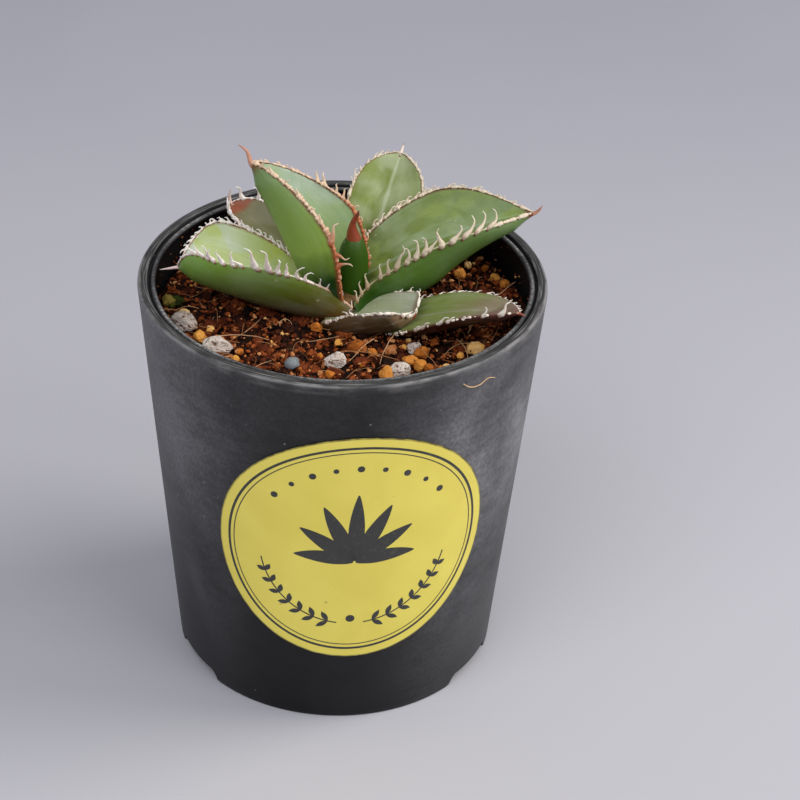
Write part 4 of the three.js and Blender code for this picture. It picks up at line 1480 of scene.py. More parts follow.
@dataclass(frozen=True)
class LeafSkin:
    """A leaf's skin: colours at its foot, middle and tip on both faces, bloom, blotches and a dark edge.

    crease is how pale the line along the midrib is, partly bloom and partly a painted highlight in the
    valley. imprint is how strongly the line shows that a neighbour's edge pressed into the skin in the bud.
    edges is how dark the two margins are.
    The under side keeps its first colour as far as shaded_foot_until, sooner at the middle and later at the
    margins by edge_shift; on the tall and right leaves this dark foot is painted shade from the neighbouring
    leaves. scorch is how brown the very tip is, from scorch_from on.
    """

    name: str
    upper: tuple[Colour, Colour, Colour]
    under: tuple[Colour, Colour, Colour]
    blotch: Colour
    bloom: Colour
    edge: Colour
    bloom_upper: float = 0.4
    bloom_under: float = 0.08
    blotch_amount: float = 0.5
    crease: float = 0.08
    imprint: float = 0.0
    imprint_at: float = 0.68
    edges: tuple[float, float] = (0.7, 0.7)
    middle: float = 0.42
    tip: float = 0.97
    shaded_foot_until: float = 0.02
    edge_shift: float = 0.4
    streaks: float = 0.03
    scorch: float = 0.0
    scorch_from: float = 0.94
    brown: Colour = (112, 58, 36)
    speck: Colour = (206, 202, 176)

    def base(self, finish: Finish, place: Field, off_middle: Field, face: Field) -> Field:
        """The green of both faces, with blotches and the pale crease on the upper one.

        Args:
            finish: The material.
            place: Place along the leaf, made uneven.
            off_middle: Distance from the midrib, 1 at the margins.
            face: 1 on the upper skin.

        Returns:
            The colour.
        """
        graph = finish.graph
        stops = (self.middle, self.tip)
        upper = graph.ramp(place, zip((0.02, *stops), self.upper, strict=True))
        lower_place = place + (off_middle - 0.45) * self.edge_shift
        # Painted shade: the under side's first colour, kept as far as shaded_foot_until, darkens the foot
        # where neighbours shade it.
        under = graph.ramp(lower_place, zip((self.shaded_foot_until, *stops), self.under, strict=True))
        upper = finish.effect(
            Effect.MOTTLE, Base=upper, Blotch=self.blotch, Scale=95.0, Level=0.52, Softness=0.12,
            Amount=self.blotch_amount,
        )
        # Pale line along the midrib: partly bloom, partly a painted highlight in the valley.
        upper = graph.mix(off_middle.step(0.0, 0.1, self.crease, 0.0), upper, self.bloom)
        return graph.mix(face, under, upper)

    def pressed(self, graph: Graph, colour: Field, across: Field, face: Field) -> Field:
        """Lays on the mark that a neighbour's edge left: a duller strip outside it, and its pale line.

        Args:
            graph: The material's tree.
            colour: The skin's colour.
            across: Place across the leaf, made uneven.
            face: 1 on the upper skin.

        Returns:
            The new colour.
        """
        amount = face * self.imprint
        strip = across.step(self.imprint_at - 0.02, self.imprint_at + 0.01)
        colour = graph.mix(strip * amount, colour, self.blotch)
        line = abs(across - self.imprint_at).step(0.0, 0.02, 0.7, 0.0)
        return graph.mix(line * amount, colour, self.bloom)

    def build(self) -> bpy.types.Material:
        """Makes the material.

        Returns:
            The material.
        """
        finish = Finish(self.name)
        graph = finish.graph
        along, across, face = graph.value("along"), graph.value("across"), graph.value("face")
        off_middle = abs(across)
        wander = graph.noise(110.0, 3.0) - 0.5
        place = along + wander * 0.3
        colour = self.base(finish, place, off_middle, face)
        powder = graph.noise(50.0, 4.0, distortion=1.6).step(0.42, 0.58)
        haze = graph.noise(130.0, 5.0).step(0.3, 0.75, 0.25, 1.0)
        bloom = powder * haze * face.step(0.0, 1.0, self.bloom_under, self.bloom_upper)
        colour = graph.mix(bloom, colour, self.bloom)
        broad = finish.effect(Effect.FIBRES, Along=place, Across=across, Lines=7.0, Run=2.4, Seed=5.0)
        colour = graph.mix(broad.step(0.48, 0.66, 0.0, self.streaks), colour, self.bloom)
        colour = self.pressed(graph, colour, across + wander * 0.16, face)
        lines = finish.effect(Effect.FIBRES, Along=along, Across=across, Lines=22.0, Run=1.6, Seed=1.0)
        colour = graph.shaded(colour, lines.step(0.3, 0.7, 0.955, 1.025))
        worn = graph.noise(420.0, 4.0).step(0.3, 0.62, 0.25, 1.0)
        margin = off_middle.step(0.93, 0.985) * across.step(-0.1, 0.1, *self.edges) * worn
        colour = graph.mix(margin, colour, self.edge)
        tip = (along + wander * 0.1).step(self.scorch_from, self.scorch_from + 0.05, 0.0, self.scorch)
        colour = graph.mix(tip, colour, self.brown)
        specks = finish.effect(Effect.SPECKS, Scale=560.0, Share=0.035, Size=0.3)
        colour = graph.mix(specks * 0.25, colour, self.speck)
        normal = finish.bump(finish.effect(Effect.GRAIN, Scale=260.0, Fine_share=0.4), 0.07, 0.35)
        finish.set(Base_Color=colour, Roughness=bloom * 0.35 + 0.4, Normal=normal, Specular_IOR_Level=0.24)
        return finish.material


@dataclass(frozen=True)
class HornFinish:
    """Dry horn of the rims, teeth and thorns: brown where it leaves the flesh, pale at the teeth.

    foot is its colour near the leaf's foot, as far as foot_end; spine and spine_tip colour the thorn.
    """

    name: str
    foot: Colour
    root: Colour
    body: Colour
    tip: Colour
    spine: Colour
    spine_tip: Colour
    foot_end: float = 0.2
    foot_amount: float = 0.6

    def build(self) -> bpy.types.Material:
        """Makes the material.

        Returns:
            The material.
        """
        finish = Finish(self.name)
        graph = finish.graph
        reach, tint = graph.value("reach"), graph.value("tint")
        colour = graph.ramp(reach, ((0.04, self.root), (0.25, self.body), (0.8, self.body), (1.0, self.tip)))
        uneven = graph.value("share") + (tint - 0.5) * 0.12
        near_foot = uneven.step(self.foot_end - 0.12, self.foot_end + 0.08, self.foot_amount, 0.0)
        colour = graph.mix(near_foot * reach.step(0.35, 0.8, 1.0, 0.15), colour, self.foot)
        stops = ((0.0, self.root), (0.3, self.spine), (0.7, self.spine), (1.0, self.spine_tip))
        colour = graph.mix(graph.value("thorn"), colour, graph.ramp(reach, stops))
        colour = finish.effect(
            Effect.MOTTLE, Base=colour, Blotch=self.root, Scale=760.0, Level=0.62, Softness=0.16, Amount=0.35
        )
        lines = finish.effect(Effect.FIBRES, Along=reach, Across=tint, Lines=40.0, Run=1.5, Seed=4.0)
        colour = graph.shaded(colour, lines.step(0.25, 0.75, 0.92, 1.06))
        normal = finish.bump(finish.effect(Effect.GRAIN, Scale=1500.0, Fine_share=0.5), 0.06, 0.5)
        finish.set(
            Base_Color=colour, Roughness=0.45, Normal=normal, Subsurface_Weight=0.12,
            Subsurface_Scale=0.6 * MM,
        )
        return finish.material


LEAF_RINGS, LEAF_COLUMNS = 110, 33
EDGE_STEPS = 401
TOOTH_OUTLINE = (
    (0.0, 0.3), (0.1, 0.78), (0.22, 1.08), (0.36, 0.86), (0.5, 0.5), (0.72, 0.3), (0.9, 0.2), (1.0, 0.06)
)


@dataclass(frozen=True)
class Tooth:
    """One edge tooth: its place on the edge, then its knee and its tip, each out from and along the edge."""

    at: float
    knee: tuple[float, float]
    tip: tuple[float, float]
    width: float


def teeth_from(rows: Sequence[tuple[float, ...]]) -> tuple[Tooth, ...]:
    """Teeth from rows of place, knee out, knee along, tip out, tip along and width."""
    return tuple(Tooth(at, (a, b), (c, d), width) for at, a, b, c, d, width in rows)


@dataclass(frozen=True)
class Margin:
    """How one edge of a leaf is armed.

    teeth are listed ones; others come by chance, about gap apart and size long, lying along the edge
    as far as lie says. bands are pairs of place and half thickness of the horny band, which is knobbly
    by knobs and broken into pieces by broken. tilt turns the teeth from the edge to the upper skin.
    """

    teeth: tuple[Tooth, ...] = ()
    tilt: float = 15.0
    gap: float = 2.6
    size: float = 1.6
    bands: tuple[tuple[float, float], ...] = ((0.0, 0.34),)
    knobs: float = 0.4
    broken: float = 0.0
    lie: float = 0.2
    start: float = 0.02
    end: float = 0.985
    width: float = 0.4


@dataclass(frozen=True)
class Leaf:
    """One leaf, from its foot along a curved midrib, with the shape that its node has.

    azimuth and rise aim it; swing and lift are how far both change on the way to the tip; roll and
    twist turn it about the midrib. fold is the slope of the skin at the edge and crease how sharp
    the valley's bottom is. left and right are its edges, seen from the foot with the face up.
    """

    node: str
    foot: Spot
    azimuth: float
    swing: float
    rise: float
    lift: float
    roll: float
    twist: float
    length: float
    half_width: float
    foot_share: float
    widest: float
    shoulder: float
    taper: float
    fold: float
    fold_foot: float
    crease: float
    thickness: float
    thorn: tuple[tuple[float, float], tuple[float, float], float]
    slot: str
    skin: LeafSkin
    horn: HornFinish
    left: Margin = field(default_factory=Margin)
    right: Margin = field(default_factory=Margin)
    heel: float = 0.0
    heel_bend: Spot = (0.0, 0.0, 0.0)
    bend_from: float = 0.12
    keel: float = 0.0
    edge: float = 0.9
    tip_crowd: float = 1.9
    joint: float = 0.28
    ripple: float = 0.16
    hood: float = 0.0

    def heading(self, t: Points) -> tuple[Points, Points]:
        """The midrib's direction at shares of its length.

        Args:
            t: The shares.

        Returns:
            Rise and azimuth, in radians.
        """
        held = np.clip(t, 0, 1)
        rise, azimuth = self.rise + self.lift * held**1.3, self.azimuth + self.swing * held
        return np.radians(rise), np.radians(azimuth)

    def midrib(self, t: Points) -> Points:
        """Points of the midrib.

        Args:
            t: Shares of its length, a little below 0 before its foot.

        Returns:
            The points.
        """
        steps = 64
        rise, azimuth = self.heading((np.arange(steps) + 0.5) / steps)
        flat = np.cos(rise)
        moves = np.stack([np.cos(azimuth) * flat, np.sin(azimuth) * flat, np.sin(rise)], -1)
        moves = moves * self.length / steps
        line = np.concatenate([[self.foot], np.array(self.foot) + np.cumsum(moves, 0)])
        place = np.clip(t, 0, 1) * steps
        inside = np.stack([np.interp(place, np.arange(steps + 1), line[:, k]) for k in range(3)], -1)
        back = np.minimum(t, 0)[..., None] * self.length * unit(moves[0])
        bent = np.clip((self.bend_from - t) / (self.bend_from + self.heel), 0, 1) ** 2
        return inside + back + bent[..., None] * np.array(self.heel_bend)

    def width_at(self, t: Points) -> Points:
        """Half the leaf's width, measured along its skin.

        Args:
            t: Shares of the length.

        Returns:
            The half widths.
        """
        opening = blend(self.foot_share, 1, np.sin(np.pi / 2 * np.clip(t / self.widest, 0, 1)))
        past = np.clip((t - self.widest) / (1 - self.widest), 0, 1)
        return self.half_width * np.where(t < self.widest, opening, (1 - past**self.shoulder) ** self.taper)

    def slope(self, t: Points, u: Points) -> Points:
        """Slope of the skin across the leaf, in radians.

        Args:
            t: Shares of the length.
            u: Places across, from -1 to 1.

        Returns:
            The slopes.
        """
        opening = blend(self.fold_foot, 1, np.sin(np.pi / 2 * np.clip(t / 0.5, 0, 1)))
        opening = opening * (1 + self.hood * ease(t, 0.75, 1.0))
        return np.radians(self.fold) * opening * np.abs(u) ** self.crease

    def depth(self, t: Points, u: Points) -> Points:
        """Depth of the flesh below the upper skin.

        Args:
            t: Shares of the length.
            u: Places across, from -1 to 1.

        Returns:
            The depths.
        """
        held = np.clip(t, 0, 1)
        keel = self.keel * np.exp(-(((t - 0.3) / 0.24) ** 2))
        deepest = self.thickness * (1 - 0.75 * held**1.6) + keel
        return (self.edge + deepest * (1 - np.abs(u) ** 1.8)) * np.minimum(1, (1 - t) * 6 + 0.35)

    def surface(self, t: Points, u: Points, widen: float = 0.0) -> Frames:
        """The upper skin at places on the leaf.

        Args:
            t: Shares of the length.
            u: Places across, from -1 to 1.
            widen: Extra half width.

        Returns:
            Arrays named point, normal, outward and along.
        """
        rise, azimuth = self.heading(t)
        flat = np.cos(rise)
        along = np.stack([np.cos(azimuth) * flat, np.sin(azimuth) * flat, np.sin(rise)], -1)
        level = np.stack([np.sin(azimuth), -np.cos(azimuth), azimuth * 0], -1)
        above = np.cross(level, along)
        turn = np.radians(self.roll + self.twist * t)[..., None]
        side = level * np.cos(turn) + above * np.sin(turn)
        up = above * np.cos(turn) - level * np.sin(turn)
        width = self.width_at(t) + widen
        sign = np.where(u < 0, -1.0, 1.0)
        parts = (np.arange(16) + 0.5) / 16
        angles = self.slope(t[..., None], np.abs(u)[..., None] * parts)
        across = sign * width * (np.cos(angles).mean(-1) * np.abs(u))
        rises = width * (np.sin(angles).mean(-1) * np.abs(u))
        angle = (self.slope(t, u) * sign)[..., None]
        return {
            "point": self.midrib(t) + side * across[..., None] + up * rises[..., None],
            "normal": up * np.cos(angle) - side * np.sin(angle),
            "outward": side * (sign[..., None] * np.cos(angle)) + up * (sign[..., None] * np.sin(angle)),
            "along": along,
        }

    def blade(self) -> bpy.types.Object:
        """Makes the flesh: a closed form, rounded at its edges, with a slight ripple.

        Returns:
            The new object.
        """
        run = 1 - (1 - np.linspace(0, 1, LEAF_RINGS)) ** self.tip_crowd
        t = (run * (0.998 + self.heel) - self.heel)[:, None]
        u = np.sin(np.linspace(-np.pi / 2, np.pi / 2, LEAF_COLUMNS))[None]
        t, u = np.broadcast_arrays(t, u)
        skin = self.surface(t, u, self.joint)
        depth = self.depth(t, u)
        round_off = self.edge * 0.32 * np.abs(u) ** 14 * np.minimum(1, (1 - t) * 6 + 0.35)
        flat = skin["point"].reshape(-1, 3)
        wave = smooth_noise(flat, 0.16, 2.0) + 0.4 * smooth_noise(flat, 0.5, 6.0)
        wave = self.ripple * wave.reshape(t.shape) * (1 - np.abs(u) ** 6)
        top = skin["point"] + skin["normal"] * (wave - round_off)[..., None]
        bottom = skin["point"] - skin["normal"] * (depth - round_off + wave * 0.5)[..., None]
        loops, along, across, face = (
            np.concatenate([above, below[:, ::-1]], 1)
            for above, below in ((top, bottom), (t, t), (u, u), (np.ones_like(t), np.zeros_like(t)))
        )
        shell = Shell("along", "across", "face")
        shell.loft(loops, along=along, across=across, face=face)
        return shell.piece(self.node.title(), self.skin.build(), [self.node], crisp=80)

    def edge_line(self, sign: int) -> Frames:
        """Frames closely spaced along one edge.

        Args:
            sign: Which edge, -1 or 1.

        Returns:
            Arrays named point, along, normal, outward and share, which is the share of the edge's length,
            below 0 before the leaf's foot; and length, the edge's length.
        """
        run = 1 - (1 - np.linspace(0, 1, EDGE_STEPS)) ** self.tip_crowd
        t = run * (1 + self.heel) - self.heel
        skin = self.surface(t, np.full_like(t, sign))
        point = skin["point"] - skin["normal"] * (self.depth(t, np.ones_like(t)) / 2)[:, None]
        step = np.linalg.norm(np.diff(point, axis=0), axis=1)
        reach = np.concatenate([[0], np.cumsum(step)])
        wanted = np.linspace(0, reach[-1], EDGE_STEPS)
        point, normal, out = (
            np.stack([np.interp(wanted, reach, values[:, k]) for k in range(3)], -1)
            for values in (point, skin["normal"], skin["outward"] + skin["along"])
        )
        along = unit(np.gradient(point, axis=0))
        normal = unit(normal - along * (normal * along).sum(-1, keepdims=True))
        outward = np.cross(along, normal)
        outward = outward * np.where((outward * out).sum(-1, keepdims=True) < 0, -1.0, 1.0)
        foot = np.interp(0.0, t, reach)
        length = reach[-1] - foot
        share = (wanted - foot) / length
        return {
            "point": point, "along": along, "normal": normal, "outward": outward, "share": share,
            "length": length,
        }

    def horn_piece(self, seed: int) -> bpy.types.Object:
        """Makes both rims with their teeth, and the end thorn.

        Args:
            seed: Which of all possible patterns of teeth it has.

        Returns:
            The new object.
        """
        shell = Shell("reach", "share", "tint", "thorn")
        chance = np.random.default_rng(500 + seed)
        for sign, margin in ((-1, self.left), (1, self.right)):
            line = self.edge_line(sign)
            teeth = list(margin.teeth) + self.filling_teeth(margin, line["length"], chance)
            self.rim(shell, line, margin, teeth, seed + sign)
            for tooth in teeth:
                self.tooth_form(shell, line, margin, tooth, chance)
        self.end_thorn(shell)
        node = self.node.replace("leaf", "horn")
        return shell.piece(node.title(), self.horn.build(), [node], crisp=75)

    def filling_teeth(self, margin: Margin, length: float, chance: np.random.Generator) -> list[Tooth]:
        """Teeth by chance where none is given.

        Args:
            margin: How the edge is armed.
            length: The edge's length.
            chance: Where they are drawn from.

        Returns:
            The teeth.
        """
        taken = [tooth.at for tooth in margin.teeth]
        count = max(3, int(length / margin.gap))
        made = []
        for k in range(count):
            at = margin.start + (margin.end - margin.start) * (k + chance.uniform(0.2, 0.8)) / count
            size = margin.size * blend(0.45, 1, math.sin(math.pi * np.clip(at * 1.02, 0, 1) ** 0.8))
            size = size * chance.uniform(0.6, 1.25)
            stand = 1 - margin.lie * chance.uniform(0.6, 1.3)
            knee = (size * 0.35 * stand, size * chance.uniform(-0.1, 0.6))
            tip = (size * 0.75 * stand, knee[1] + size * (chance.uniform(-0.6, 0.6) + margin.lie))
            if all(abs(at - other) * length > margin.gap * 0.8 for other in taken):
                made.append(Tooth(at, knee, tip, margin.width * chance.uniform(0.75, 1.15)))
        return made

    def rim(self, shell: Shell, line: Frames, margin: Margin, teeth: Sequence[Tooth], seed: int) -> None:
        """Adds the horny band of one edge, swollen at the roots of its teeth.

        Args:
            shell: The leaf's horn.
            line: Frames along the edge.
            margin: How the edge is armed.
            teeth: Its teeth.
            seed: Which pattern of knobs it has.
        """
        keep = line["share"] >= margin.start
        point, outward, share, normal = (line[name][keep] for name in ("point", "outward", "share", "normal"))
        knob = 0.8 * smooth_noise(point, 0.8, seed * 3.7) + 0.6 * smooth_noise(point, 2.0, seed * 1.3)
        radius = np.interp(share, *zip(*margin.bands, strict=True))
        radius = radius * np.maximum(1 + 1.5 * margin.knobs * knob, 0.3)
        radius = radius * (1 - margin.broken * (1 - ease(knob, -0.1, 0.25)))
        for tooth in teeth:
            near = np.exp(-(((share - tooth.at) * line["length"] / (tooth.width * 1.1)) ** 2))
            radius = radius + near * tooth.width * 0.12
        radius = radius * ease(share, margin.start - 0.01, margin.start + 0.05) + 0.02
        radius = radius * np.minimum(1, (1 - share) * 12 + 0.7)
        middle = point + outward * (0.1 + radius * 0.45)[:, None]
        rings = tube_rings(middle, radius, 10, 1.25, normal)
        out = ((rings - middle[:, None]) * outward[:, None]).sum(-1) / radius[:, None]
        reach = np.clip(0.17 + 0.2 * out + 0.4 * knob[:, None], 0, 0.62)
        shell.loft(rings, reach=reach, share=share[:, None], tint=(0.5 + 0.3 * knob)[:, None])

    def tooth_form(self, shell: Shell, line: Frames, margin: Margin, tooth: Tooth,
                   chance: np.random.Generator) -> None:
        """Adds one curled tooth, from a toe on the leaf's under side over the edge to its tip.

        Args:
            shell: The leaf's horn.
            line: Frames along the edge.
            margin: How the edge is armed.
            tooth: The tooth.
            chance: Where its small unevenness is drawn from.
        """
        spot = int(np.argmin(np.abs(line["share"] - tooth.at)))
        point, along, outward, normal = (line[name][spot] for name in ("point", "along", "outward", "normal"))
        tilt = math.radians(margin.tilt + chance.normal(0, 4))
        grow = outward * math.cos(tilt) + normal * math.sin(tilt)
        across = unit(np.cross(grow, along))
        width = tooth.width
        toe = point - normal * (0.15 + 0.75 * width) + outward * 0.1 - along * 1.5 * width
        base = point + outward * 0.22 - normal * 0.2 * width - along * 0.25 * width
        anchor = point + outward * 0.55
        knee = anchor + grow * tooth.knee[0] + along * tooth.knee[1]
        tip = anchor + grow * tooth.tip[0] + along * tooth.tip[1]
        tip = tip + across * chance.normal(0, 0.06) * math.hypot(*tooth.tip)
        out, on = np.subtract(tooth.tip, tooth.knee)
        aside = math.copysign(0.2, tooth.knee[0] * on - tooth.knee[1] * out)
        waist = knee + grow * (0.68 * out + aside * on) + along * (0.68 * on - aside * out)
        path = smooth_path(np.array([toe, base, knee, waist, tip]), 24)
        share = np.linspace(0, 1, len(path))
        radii = width * np.interp(share, *zip(*TOOTH_OUTLINE, strict=True)) + 0.03
        rings = tube_rings(path, radii, 9, 0.8, across)
        reach = (0.02 + 0.98 * share)[:, None]
        shell.loft(rings, reach=reach, share=line["share"][spot], tint=chance.uniform(0, 1))

    def end_thorn(self, shell: Shell) -> None:
        """Adds the thorn at the leaf's end, with a broad root that clasps the tip.

        Args:
            shell: The leaf's horn.
        """
        one = np.array([1.0])
        skin = self.surface(one, one * 0)
        normal, along = skin["normal"][0], skin["along"][0]
        root = skin["point"][0] - normal * float(self.depth(one, one * 0)[0]) / 2
        knee, tip, thick = self.thorn
        controls = [(-1.9 * thick, 0.1), (0.0, 0.0), knee, tip]
        path = smooth_path(np.array([root + along * a + normal * n for a, n in controls]), 30)
        share = np.linspace(0, 1, len(path))
        radius = thick * np.minimum(1, 0.7 + share * 1.6) * (1 - share) ** 0.75 + 0.04
        rings = tube_rings(path, radius, 16, 0.85, normal)
        shell.loft(rings, reach=share[:, None], share=1.0, tint=0.5, thorn=1.0)


# The dark first under colour, kept to shaded_foot_until, is painted shade from the neighbouring leaves.
GREEN_SKIN = LeafSkin(
    name="Skin of the tall leaf", upper=((84, 114, 44), (140, 162, 118), (186, 200, 180)),
    under=((18, 58, 0), (136, 164, 66), (106, 132, 74)), blotch=(150, 172, 104), bloom=(200, 210, 196),
    edge=(120, 70, 38), bloom_upper=0.5, bloom_under=0.06, edges=(0.9, 0.9), shaded_foot_until=0.24,
    edge_shift=0.06, scorch=0.8,
)
LEFT_SKIN = LeafSkin(
    name="Skin of the left leaf", upper=((196, 206, 116), (182, 198, 98), (204, 212, 200)),
    under=((92, 58, 20), (98, 112, 36), (130, 168, 72)), blotch=(190, 204, 96), bloom=(218, 224, 218),
    edge=(128, 76, 40), bloom_upper=0.6, bloom_under=0.1, blotch_amount=0.7, crease=0.15,
    edges=(0.12, 0.5),
)
# The dark first under colour, kept to shaded_foot_until, is painted shade at the foot.
RIGHT_SKIN = LeafSkin(
    name="Skin of the right leaf", upper=((86, 98, 32), (106, 124, 54), (114, 134, 84)),
    under=((36, 72, 2), (84, 118, 40), (100, 126, 66)), blotch=(130, 148, 70), bloom=(178, 192, 166),
    edge=(100, 64, 40), bloom_upper=0.4, bloom_under=0.1, blotch_amount=0.6, crease=0.3, imprint=0.5,
    edges=(0.9, 0.2), shaded_foot_until=0.2, scorch=1.0,
)
LIME_SKIN = LeafSkin(
    name="Skin of the rear leaf", upper=((140, 130, 62), (116, 130, 46), (120, 136, 60)),
    under=((100, 126, 50), (116, 138, 64), (118, 138, 72)), blotch=(94, 108, 34), bloom=(206, 212, 186),
    edge=(110, 72, 48), bloom_upper=0.36, bloom_under=0.15, blotch_amount=0.55, crease=0.35,
    edges=(0.6, 0.8),
)
FRONT_SKIN = LeafSkin(
    name="Skin of the front leaf", upper=((110, 100, 66), (142, 150, 112), (158, 164, 136)),
    under=((66, 32, 10), (98, 72, 40), (94, 80, 56)), blotch=(150, 156, 124), bloom=(196, 196, 182),
    edge=(110, 62, 42), bloom_upper=0.6, bloom_under=0.12, blotch_amount=0.6, edges=(0.5, 0.3),
    streaks=0.2, scorch=0.6, scorch_from=0.9, brown=(150, 118, 92),
)
LOW_SKIN = LeafSkin(
    name="Skin of the low leaf", upper=((78, 94, 36), (124, 138, 74), (140, 110, 98)),
    under=((56, 30, 16), (50, 24, 16), (84, 36, 28)), blotch=(128, 142, 80), bloom=(166, 162, 146),
    edge=(84, 42, 34), bloom_upper=0.3, bloom_under=0.08, blotch_amount=0.6, crease=0.4, edges=(0.8, 0.9),
    streaks=0.2, scorch=0.5, scorch_from=0.8, brown=(96, 58, 52),
)
RUST_SKIN = LeafSkin(
    name="Skin of the hidden leaf", upper=((80, 92, 48), (100, 106, 66), (112, 106, 76)),
    under=((104, 116, 76), (134, 110, 84), (160, 70, 46)), blotch=(116, 118, 80), bloom=(160, 158, 140),
    edge=(140, 62, 42), bloom_upper=0.2, bloom_under=0.12, blotch_amount=0.5, edges=(0.9, 0.9),
    scorch=0.8, scorch_from=0.88, brown=(146, 72, 50),
)

WHITE_HORN = HornFinish(
    name="White horn", foot=(196, 128, 72), root=(138, 88, 60), body=(246, 234, 224), tip=(254, 251, 246),
    spine=(242, 216, 206), spine_tip=(246, 236, 228),
)
BUFF_HORN = HornFinish(
    name="Buff horn", foot=(160, 114, 70), root=(104, 64, 38), body=(218, 202, 176), tip=(240, 230, 212),
    spine=(184, 130, 98), spine_tip=(200, 154, 126), foot_end=0.16, foot_amount=0.5,
)
LIME_HORN = replace(BUFF_HORN, name="Bleached horn", spine=(226, 208, 194), spine_tip=(74, 60, 56))
TAN_HORN = HornFinish(
    name="Tan horn", foot=(184, 84, 26), root=(100, 50, 28), body=(226, 196, 164), tip=(242, 224, 202),
    spine=(196, 142, 116), spine_tip=(176, 112, 90), foot_end=0.5, foot_amount=0.85,
)
SNOW_HORN = HornFinish(
    name="Pale horn", foot=(176, 148, 118), root=(122, 84, 62), body=(242, 230, 214), tip=(252, 248, 240),
    spine=(150, 74, 54), spine_tip=(170, 104, 84),
)

# Rows of place, knee out, knee along, tip out, tip along and width.
FRONT_TEETH = (
    (0.93, 0.4, 0.5, 1.9, 0.6, 0.6), (0.86, 0.3, 0.5, 1.3, 1.6, 0.6), (0.72, 0.0, 0.6, 0.2, 2.0, 0.4),
    (0.56, 0.1, 0.5, 0.4, 1.8, 0.34), (0.36, 0.6, -0.4, 1.3, 0.6, 0.34), (0.3, 0.5, 0.5, 1.0, -0.6, 0.3),
)
LEFT_TEETH = (
    (0.75, 0.8, 1.7, 2.3, 2.2, 0.42), (0.714, 0.8, 1.7, 2.3, 2.0, 0.42), (0.690, 1.6, 0.2, 2.8, 1.4, 0.5),
    (0.661, 0.7, 1.1, 2.6, 1.0, 0.5), (0.622, 1.4, 0.9, 3.2, 1.5, 0.56), (0.577, 1.6, 0.7, 3.4, 0.6, 0.6),
    (0.545, 0.6, 1.4, 1.4, 2.5, 0.5), (0.478, 2.2, 1.5, 4.7, 4.0, 0.72), (0.42, 2.6, 1.6, 5.1, 4.0, 0.72),
    (0.381, 1.8, 0.6, 3.1, 1.3, 0.64), (0.339, 1.6, 0.8, 2.7, 1.3, 0.58),
    (0.285, 1.7, 1.1, 2.9, 0.1, 0.42), (0.242, 1.3, 0.6, 2.0, -0.6, 0.38),
    (0.16, 1.0, 0.9, 1.5, 1.5, 0.34), (0.12, 0.7, 0.4, 1.3, 0.5, 0.34), (0.079, 0.8, 0.8, 1.0, 1.8, 0.3),
    (0.024, 0.6, 0.6, 0.9, 1.3, 0.3), (-0.04, 0.6, 0.6, 1.1, 0.8, 0.3),
)
RIGHT_TEETH = (
    (-0.04, 1.0, 0.5, 2.2, 1.0, 0.4), (0.0, 1.3, 0.7, 2.4, 1.8, 0.42), (0.046, 1.7, 1.1, 2.6, 2.2, 0.5),
    (0.125, 1.7, 1.1, 2.7, 2.1, 0.5), (0.171, 1.8, 1.1, 2.6, 2.3, 0.5), (0.215, 1.8, 2.4, 3.8, 4.2, 0.6),
    (0.278, 1.4, 1.4, 3.0, 1.1, 0.62), (0.326, 1.6, 1.4, 3.7, 1.4, 0.66),
    (0.372, 1.4, 1.2, 3.3, 1.0, 0.68), (0.392, 0.8, 1.7, 2.2, 3.1, 0.5),
    (0.462, 1.8, -0.1, 3.7, 0.7, 0.7), (0.512, 0.8, 1.7, 2.6, 2.9, 0.7),
    (0.573, 0.9, 2.0, 3.8, 3.1, 0.62), (0.638, 1.2, 2.0, 4.0, 2.6, 0.58),
    (0.708, 1.1, 2.2, 3.8, 1.6, 0.52),
)
TALL_TEETH = (
    (0.95, 0.6, -0.4, 1.5, -0.6, 0.45), (0.87, 0.2, 0.8, 0.3, 2.2, 0.5),
    (0.80, 0.5, -0.4, 1.2, -0.8, 0.45), (0.70, 0.3, 0.5, 0.9, 1.4, 0.45),
    (0.62, 0.3, -0.5, 0.8, -1.2, 0.45), (0.53, 0.2, 0.6, 0.5, 1.8, 0.45), (0.43, 0.9, 1.4, 2.9, 3.2, 0.8),
    (0.356, 0.8, -0.3, 3.0, -0.9, 0.5), (0.295, 1.5, 0.6, 3.1, -0.1, 0.55),
)
FAR_TEETH = (
    (0.641, 0.7, 0.6, 1.9, 1.3, 0.55), (0.601, 0.9, 0.7, 2.2, 1.5, 0.6),
    (0.527, 0.9, 0.7, 1.7, 1.2, 0.55), (0.482, 1.1, 0.7, 1.9, 1.0, 0.5),
    (0.409, 0.6, 0.2, 1.3, -0.2, 0.45),
)

